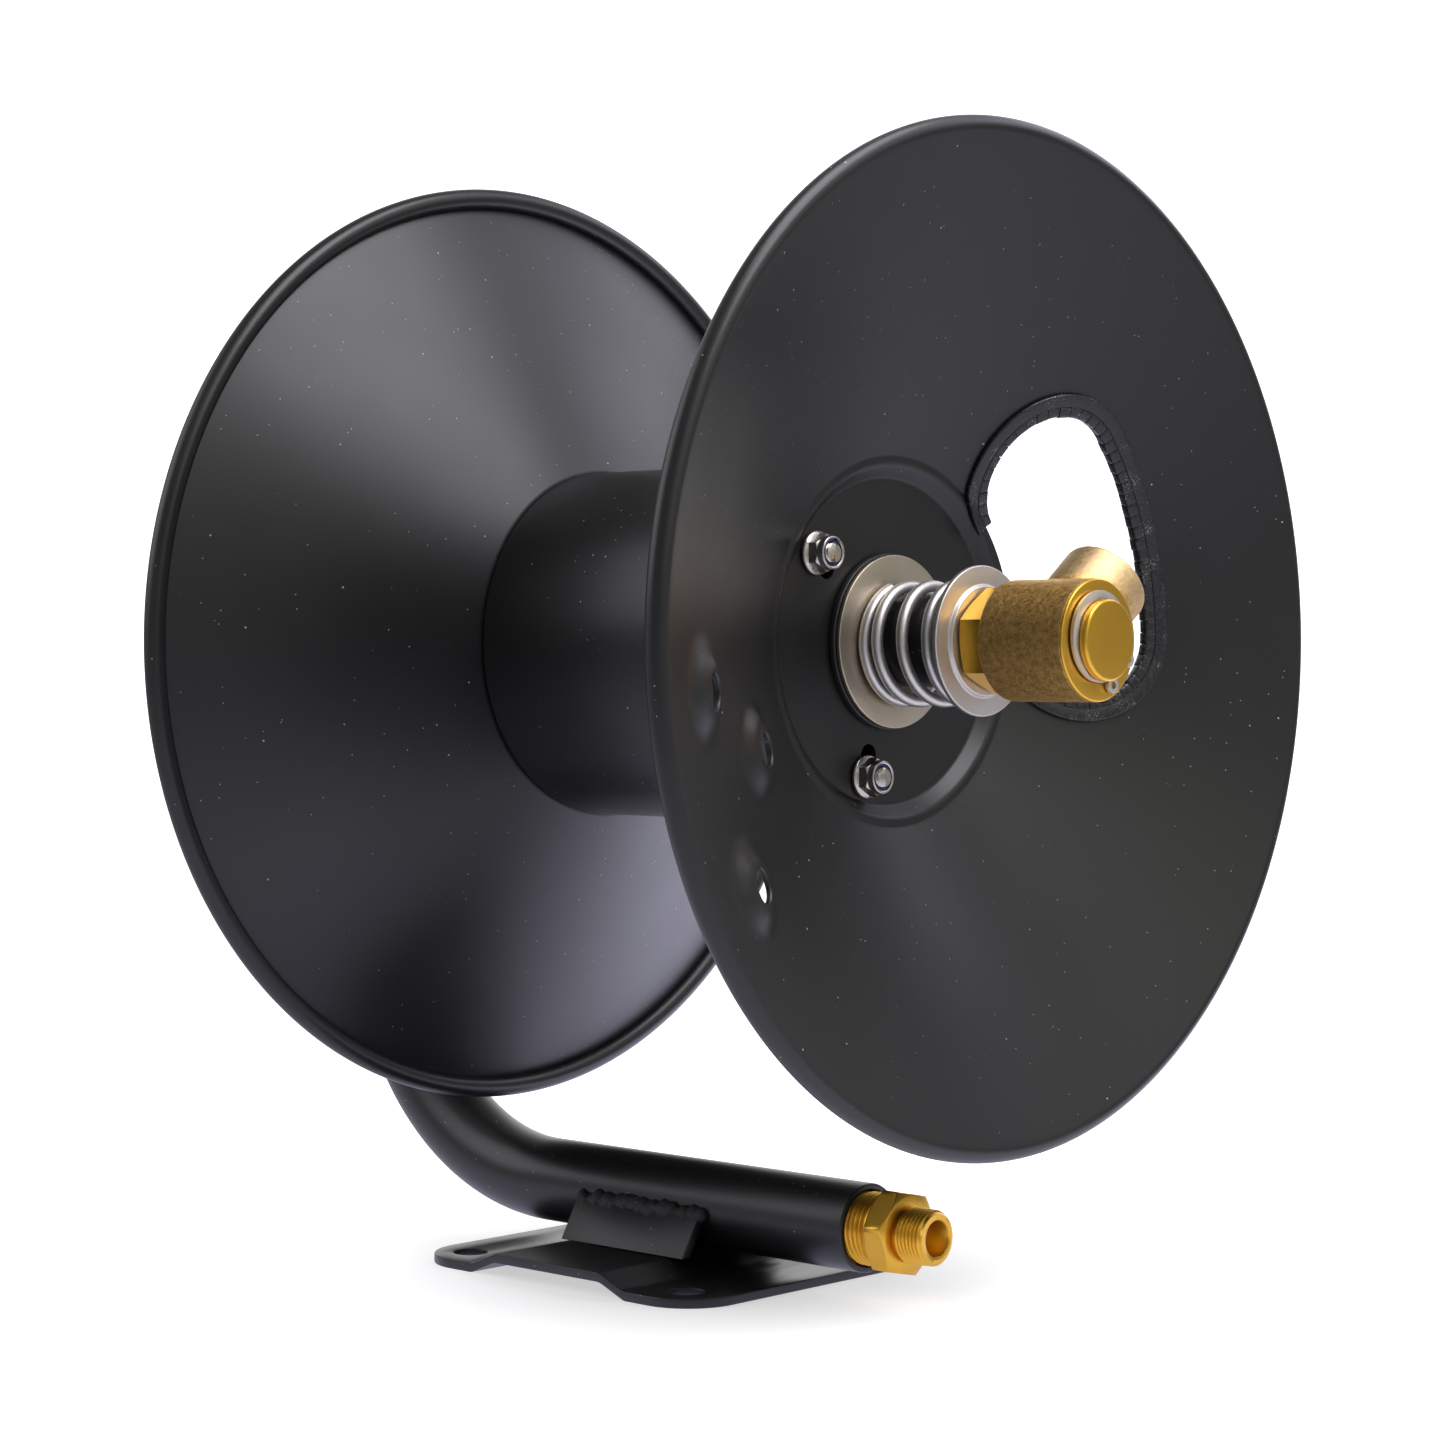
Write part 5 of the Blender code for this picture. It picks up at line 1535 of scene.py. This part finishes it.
@dataclass
class TieRods:
    """Three studs through the drum with a flanged lock nut at each end."""

    drum: Drum
    radius: float = 0.0412
    stud: float = 0.0030
    half_length: float = 0.0654
    flange: float = 0.0065
    flange_height: float = 0.0012
    flats: float = 0.0100
    hex_height: float = 0.0047
    collar: float = 0.00505
    height: float = 0.0070
    pocket: float = 0.0043
    insert: float = 0.0015
    thread_pitch: float = 0.001

    def nut(self) -> Mesh:
        """A flanged lock nut seated at local z = 0, its collar rolled in over the ring."""
        bore = self.stud + 0.0002
        corner = self.flats / math.sqrt(3)
        base = self.flange_height
        floor = self.height - self.insert - 0.0006
        rows = [
            (bore, 0.0),
            (self.flange - 0.0003, 0.0),
            (self.flange, 0.0003),
            (self.flange, base - 0.0003),
            (self.flange - 0.0003, base),
            (corner + 0.0001, base + 0.0004),
        ]
        top = self.hex_height
        for i in range(9):
            share = i / 8
            rows.append((corner - (corner - self.collar) * share**2, top - 0.0009 + 0.0009 * share))
        neck = self.collar - 0.0001
        rows += [(neck, top + 0.0002), (neck, self.height - 0.0007)]
        rows += arc((neck - 0.0005, self.height - 0.0005), 0.0005, 0.1, QUARTER, 6)
        rows += [(self.pocket - 0.0003, self.height - 0.0003), (self.pocket - 0.0002, self.height - 0.0007)]
        rows += [(self.pocket - 0.0002, floor), (bore, floor)]
        hexagon = Hexagon(self.flats, base + 0.0002, top)
        return turned_mesh("tie_nut", rows, 96, None, hexagon)

    def ring(self) -> Mesh:
        """The nylon ring in a nut's collar."""
        start = self.height - self.insert - 0.0003
        corners = [
            (self.stud + 0.0002, start, 0.0002),
            (self.pocket - 0.0003, start, 0.0002),
            (self.pocket - 0.0003, start + self.insert - 0.0002, 0.0003),
            (self.stud + 0.0002, start + self.insert - 0.0002, 0.0003),
        ]
        return turned_mesh("nut_insert", rounded_loop(corners, 4), 64)

    def rod(self, shop: Workshop) -> Mesh:
        """A stud, threaded at both ends."""
        fine = 0.0001
        end = self.half_length
        threaded = 0.012
        rows = [(0.0, -end), (self.stud - 0.0003, -end)]
        rows += stretch(self.stud, self.stud, -end + 0.0003, -end + threaded, fine)
        rows += stretch(self.stud, self.stud, end - threaded, end - 0.0003, fine)
        rows += [(self.stud - 0.0003, end), (0.0, end)]
        mesh = turned_mesh("tie_stud", rows, 48)
        for span in ((-end - 0.001, -end + threaded), (end - threaded, end + 0.001)):
            mesh = shop.cut_thread(mesh, span, self.thread_pitch, 0.0005, self.stud * 0.85, "zinc_steel")
        return mesh

    def build(self, shop: Workshop) -> None:
        """Makes the studs, the nuts and their rings, each kind as one piece."""
        seat = Matrix.Translation((0, 0, self.drum.hub_floor + CLEARANCE))
        count = len(self.drum.tie_degrees)
        angles = {f"Angle {i + 1}": math.radians(turn) for i, turn in enumerate(self.drum.tie_degrees)}
        ends = [f"{side.label}_{i + 1}" for side in Side for i in range(count)]
        kinds = (
            ("tie_studs", self.rod(shop), False, "zinc_steel", [f"tie_stud_{i + 1}" for i in range(count)]),
            ("tie_nuts", self.nut(), True, "zinc_steel", [f"tie_nut_{end}" for end in ends]),
            ("tie_nut_rings", self.ring(), True, "blue_nylon", [f"nut_insert_{end}" for end in ends]),
        )
        for name, mesh, both, slot, nodes in kinds:
            if both:
                mesh.transform(seat)
            values = {
                **angles,
                "Radius": self.radius,
                "Both Ends": both,
                "Finish": shop.finishes[slot],
            }
            mesh = shop.clock.apply(mesh, values)
            mesh.transform(AXLE.placing)
            welded(mesh)
            shop.add(name, mesh, Body.DRUM, slot, nodes, sharp=math.radians(45))


@dataclass
class Swivel:
    """The brass stem, its snap ring and the cast body that turns on it."""

    stem: float = 0.0116
    spigot: float = 0.0111
    spigot_start: float = 0.0760
    stem_end: float = 0.1395
    stem_chamfer: float = 0.0009
    stem_bore: float = 0.0050
    bore_end: float = 0.1240
    hex_flats: float = 0.0268
    hex_start: float = 0.0960
    hex_end: float = 0.1052
    hex_turn: float = math.radians(7)
    ring: float = 0.0130
    ring_offset: float = 0.0015
    ring_bore: float = 0.0112
    ring_along: float = 0.1359
    ring_thickness: float = 0.0011
    ring_angle: float = math.radians(-46)
    ring_gap: float = math.radians(22)
    ear: float = 0.0023
    ear_place: float = 0.0136
    ear_angle: float = math.radians(22.5)
    ear_hole: float = 0.0011
    body: float = 0.0175
    body_start: float = 0.1056
    body_end: float = 0.1354
    body_bore: float = 0.0120
    outlet_along: float = 0.1207
    outlet_angle: float = math.radians(36.5)
    outlet: float = 0.0134
    outlet_reach: float = 0.0285
    socket: float = 0.0076
    socket_depth: float = 0.0100
    segments: int = 120

    @property
    def hexagon(self) -> Hexagon:
        """The stem's hexagon."""
        return Hexagon(self.hex_flats, self.hex_start, self.hex_end)

    def stem_profile(self) -> list[Point]:
        """Closed profile of the stem: bored spigot, hexagon, journal, groove and end."""
        groove = 0.0108
        rows = [(self.stem_bore, self.spigot_start), (self.spigot, self.spigot_start)]
        rows += [(self.spigot, self.hex_start)]
        rows += self.hexagon.rows(math.radians(22), (0.985, 0.985), (8, 8))
        rows += [(self.stem, self.hex_end), (self.stem, self.ring_along - CLEARANCE)]
        rows += [(groove, self.ring_along - CLEARANCE)]
        past = self.ring_along + self.ring_thickness + CLEARANCE
        rows += [(groove, past), (self.stem, past)]
        edge = self.stem_chamfer
        rows += arc((self.stem - edge, self.stem_end - edge), edge, 0, QUARTER, 8)
        rows += [(0.0, self.stem_end), (0.0, self.bore_end), (self.stem_bore, self.bore_end)]
        return rows

    def build_stem(self, shop: Workshop) -> None:
        """Makes the stem."""
        placing = AXLE.placing @ Matrix.Rotation(self.hex_turn, 4, "Z")
        mesh = turned_mesh("swivel_stem", self.stem_profile(), self.segments, placing, self.hexagon)
        shop.add("brass_stem", mesh, Body.FRAME, "turned_brass", ["swivel_stem"], sharp=math.radians(28))

    def build_snap_ring(self, shop: Workshop) -> None:
        """Makes the open ring, widest across from its two eyes."""
        first, last = self.ring_angle + self.ring_gap, self.ring_angle + math.tau - self.ring_gap
        centre = polar(-self.ring_offset, self.ring_angle)
        outline = arc(centre, self.ring, first, last, 96) + arc((0, 0), self.ring_bore, last, first, 96)
        low, high = self.ring_along, self.ring_along + self.ring_thickness
        ring = prism_mesh("snap_ring", outline, low, high)
        ears, eyes = [], []
        for side in (-1, 1):
            angle = self.ring_angle + side * self.ear_angle
            centre = polar(self.ear_place, angle)
            ear, eye = circle(centre, self.ear, 40), circle(centre, self.ear_hole, 24)
            ears.append((Join.ADD, prism_mesh("ear", ear, low, high)))
            eyes.append((Join.CUT, prism_mesh("eye", eye, low - 0.001, high + 0.001)))
        mesh = bevelled(combined(ring, ears + eyes), 0.00018, 2, math.radians(60))
        mesh.transform(AXLE.placing)
        shop.add("open_snap_ring", mesh, Body.FRAME, "bright_steel", ["snap_ring"])

    def build_body(self, shop: Workshop) -> None:
        """Makes the cast body with its outlet, and the turned face at its end."""
        face = 0.0005
        end = self.body_end - face
        skin = rounded_loop(
            [
                (0.0, self.body_start, 0.0),
                (self.body, self.body_start, 0.0006),
                (self.body, end, 0.0),
                (0.0, end, 0.0),
            ],
            4,
        )
        body = turned_mesh("swivel_body", skin, 128)
        outlet_place = (
            Matrix.Translation((0, 0, self.outlet_along))
            @ Matrix.Rotation(self.outlet_angle, 4, "Z")
            @ Matrix.Rotation(QUARTER, 4, "Y")
        )
        boss_skin = rounded_loop(
            [
                (0.0, 0.0, 0.0),
                (self.outlet - 0.0004, 0.0, 0.0),
                (self.outlet, self.outlet_reach, 0.0009),
                (0.0, self.outlet_reach, 0.0),
            ],
            4,
        )
        boss = turned_mesh("outlet_boss", boss_skin, 96, outlet_place)
        cast = remeshed(combined(body, [(Join.ADD, boss)]), 0.00042, 5)
        bore = prism_mesh("body_bore", circle((0, 0), self.body_bore, 96), 0.10, 0.14)
        low, high = self.outlet_reach - self.socket_depth, self.outlet_reach * 1.1
        socket = prism_mesh("socket", circle((0, 0), self.socket, 64), low, high, outlet_place)
        cast = combined(cast, [(Join.CUT, bore), (Join.CUT, socket)])
        cast.transform(AXLE.placing)
        cast.materials.clear()
        cast.materials.append(shop.finishes["cast_brass"])
        sharp = math.radians(50)
        shop.add("cast_swivel_body", cast, Body.SWIVEL, "cast_brass", ["swivel_body"], sharp=sharp)
        rim = [
            (self.body_bore, end - 0.0006, 0.0),
            (self.body - 0.0001, end - 0.0006, 0.0),
            (self.body - 0.0001, self.body_end, 0.0005),
            (self.body_bore, self.body_end, 0.0002),
        ]
        ring = turned_mesh("body_face", rounded_loop(rim, 4), 128, AXLE.placing)
        shop.add("swivel_turned_face", ring, Body.SWIVEL, "cast_brass", [], finish="turned_brass")

    def build(self, shop: Workshop) -> None:
        """Makes the stem, the ring and the body, and dresses the hidden seals."""
        self.build_stem(shop)
        self.build_snap_ring(shop)
        self.build_body(shop)
        for name in ("swivel_seal_inner", "swivel_seal_outer"):
            for slot in frame["nodes"][name].material_slots:
                slot.material = shop.finishes["seal_rubber"]
            LOG.info("%s: dressed solid", name)


@dataclass
class Studio:
    """White floor, soft light and the camera."""

    eye: Place = (0.68864, -0.73196, 0.18957)
    target: Place = (0.0102, 0.0, 0.1722)
    lens: float = 79.63
    sensor: float = 36.0
    floor_radius: float = 4.0
    fade: Point = (0.06, 0.16)
    glow: Point = (0.55, 1.05)
    pool: Point = (0.80, 0.1)
    pool_radius: float = 0.7
    spot: Place = (-0.04, 0.36, 0.0)
    spot_radius: float = 0.35
    spot_glow: float = 2.2
    tint: Colour = (0.92, 0.90, 1.18)
    surround: Point = (0.31, 1.72)
    spread: Point = (0.60, 0.95)

    def build_floor(self) -> None:
        """Lays a round white floor that glows: white to the camera but for a painted shade close round the
        reel, and a bluish pool of light to the reel.
        """
        rim = circle((0, 0), self.floor_radius, 96)
        mesh = bpy.data.meshes.new("floor")
        mesh.from_pydata([(x, y, 0.0) for x, y in rim], [], [tuple(range(len(rim)))])
        shader = Shader("floor_white")
        place = shader.coordinates()
        away = shader.distance(place)
        aside = shader.distance(shader.coordinates(self.spot))
        pool = shader.remap(away, (0.0, self.pool_radius), self.pool)
        spot = shader.remap(aside, (self.spot_radius, 0.0), (0.0, self.spot_glow))
        path = shader.node("ShaderNodeLightPath").outputs["Is Camera Ray"]
        # To the camera the floor glows less close to the reel: a painted shade round it.
        camera_glow = shader.remap(away, self.fade, self.glow)
        inputs = {0: path, 2: shader.math("ADD", pool, spot), 3: camera_glow}
        glow = shader.node("ShaderNodeMix", inputs, data_type="FLOAT")
        white = (0.50, 0.50, 0.50)
        colour = shader.blend(shader.noise(place, 0.6), (0.48, 0.48, 0.48), white)
        surface = shader.surface.inputs
        shader.link(colour, surface["Base Color"])
        surface["Roughness"].default_value = 0.9
        surface["Specular IOR Level"].default_value = 0.1
        shader.link(glow.outputs[0], surface["Emission Strength"])
        shader.link(shader.blend(path, self.tint, (1.0, 1.0, 1.0)), surface["Emission Color"])
        mesh.materials.append(shader.material)
        floor = linked("floor", mesh)

    def build_world(self) -> None:
        """Sets a white surround that lights the reel from behind and is dim before it."""
        world = bpy.data.worlds.new("surround")
        bpy.context.scene.world = world
        world.use_nodes = True
        nodes = Nodes(world.node_tree)
        way = (Vector(self.target) - Vector(self.eye)).normalized()
        place = nodes.node("ShaderNodeTexCoord").outputs["Generated"]
        facing = nodes.vector_math("DOT_PRODUCT", place, way).outputs["Value"]
        light = nodes.remap(facing, self.spread, self.surround, interpolation_type="SMOOTHSTEP")
        path = nodes.node("ShaderNodeLightPath").outputs["Is Camera Ray"]
        background = world.node_tree.nodes["Background"].inputs
        nodes.link(nodes.math("MAXIMUM", path, light), background["Strength"])
        background["Color"].default_value = (1.0, 1.0, 1.0, 1.0)

    @staticmethod
    def aimed(data: ID, place: Sequence[float], aim: Sequence[float]) -> Object:
        """Hangs a light or a camera at a place, facing a point."""
        made = linked(data.name, data)
        made.location = place
        made.rotation_euler = (Vector(aim) - Vector(place)).to_track_quat("-Z", "Y").to_euler()
        return made

    def build_light(
        self,
        name: str,
        place: Sequence[float],
        aim: Sequence[float],
        size: Point,
        power: float,
        colour: Colour,
    ) -> None:
        """Hangs a soft box.

        Args:
            name: The light's name.
            place: Where it hangs.
            aim: The point that it faces.
            size: Its two sides.
            power: Its power in watts.
            colour: Its colour.
        """
        lamp = bpy.data.lights.new(name, "AREA")
        lamp.shape = "RECTANGLE"
        lamp.size, lamp.size_y = size
        lamp.energy = power
        lamp.color = colour
        self.aimed(lamp, place, aim)

    def build_camera(self) -> None:
        """Sets the camera at the viewing angle of the photograph."""
        lens = bpy.data.cameras.new("camera")
        lens.lens = self.lens
        lens.sensor_width = self.sensor
        bpy.context.scene.camera = self.aimed(lens, self.eye, self.target)

    def build(self) -> None:
        """Sets the floor, the light and the camera."""
        bpy.context.scene.view_settings.view_transform = "Standard"
        self.build_floor()
        self.build_world()
        reel = (0.0, 0.0, 0.15)
        boxes = (
            ("top_box", (0.62, 0.08, 0.97), (0.62, 0.08, 0.0), (0.95, 0.60), 10.7, (1.0, 0.97, 1.04)),
            ("side_box", (1.6, 0.35, 0.75), reel, (2.0, 0.6), 2.5, (1.04, 1.06, 0.90)),
            ("back_box", (0.28, 1.03, 0.95), reel, (1.1, 0.5), 3.2, (0.97, 0.93, 1.10)),
            ("left_box", (-0.9, -1.0, 0.90), reel, (1.3, 1.0), 7.4, (0.97, 0.95, 1.05)),
        )
        for box in boxes:
            self.build_light(*box)
        self.build_camera()


def finishes(tube: WaterTube) -> dict[str, Material]:
    """Makes every finish; the tube's lower run is the axis of the inlet's."""
    brass = ((0.72, 0.40, 0.040), (0.80, 0.46, 0.060), (0.30, 0.36))
    # The inlet's brass is a darker copy of the turned brass: painted shade on the inlet.
    shaded_inlet_brass = ((0.60, 0.34, 0.036), (0.70, 0.40, 0.050), (0.30, 0.36))
    made = (
        PowderCoat(),
        PowderCoat("black_weld", roughness=(0.55, 0.70)),
        MouldedPlastic("black_plastic", (0.007, 0.007, 0.007), (0.013, 0.013, 0.013), (0.40, 0.52)),
        SlitTrimRubber(),
        TurnedMetal("bright_steel", (0.55, 0.52, 0.48), (0.62, 0.595, 0.56), (0.45, 0.53)),
        TurnedMetal("spring_steel", (0.60, 0.585, 0.56), (0.68, 0.665, 0.645), (0.42, 0.50)),
        TurnedMetal("washer_steel", (0.50, 0.435, 0.335), (0.59, 0.525, 0.425), (0.33, 0.41)),
        TurnedMetal("zinc_steel", (0.44, 0.415, 0.375), (0.54, 0.515, 0.475), (0.26, 0.34)),
        MouldedPlastic("blue_nylon", (0.008, 0.012, 0.075), (0.016, 0.028, 0.15), (0.35, 0.50)),
        TurnedMetal("turned_brass", *brass),
        TurnedMetal("turned_brass_inlet", *shaded_inlet_brass, tube.lower_line),
        SandCastBrass(),
        MouldedPlastic("seal_rubber", (0.010, 0.010, 0.010), (0.018, 0.018, 0.018), (0.60, 0.80)),
    )
    return {finish.name: finish.material() for finish in made}


def main() -> None:
    """Builds the sub-assemblies in order, then the studio."""
    logging.basicConfig(level=logging.INFO, format="%(message)s")
    tube = WaterTube()
    drum = Drum()
    shop = Workshop(finishes(tube))
    builders: tuple[Callable[[Workshop], None], ...] = (
        tube.build,
        Foot(tube).build,
        InletNipple(tube).build,
        AxleRings(tube).build,
        drum.build,
        HoleTrim(drum).build,
        TieRods(drum).build,
        Swivel().build,
    )
    for build in builders:
        build(shop)
    Studio().build()


if __name__ == "__main__":
    main()
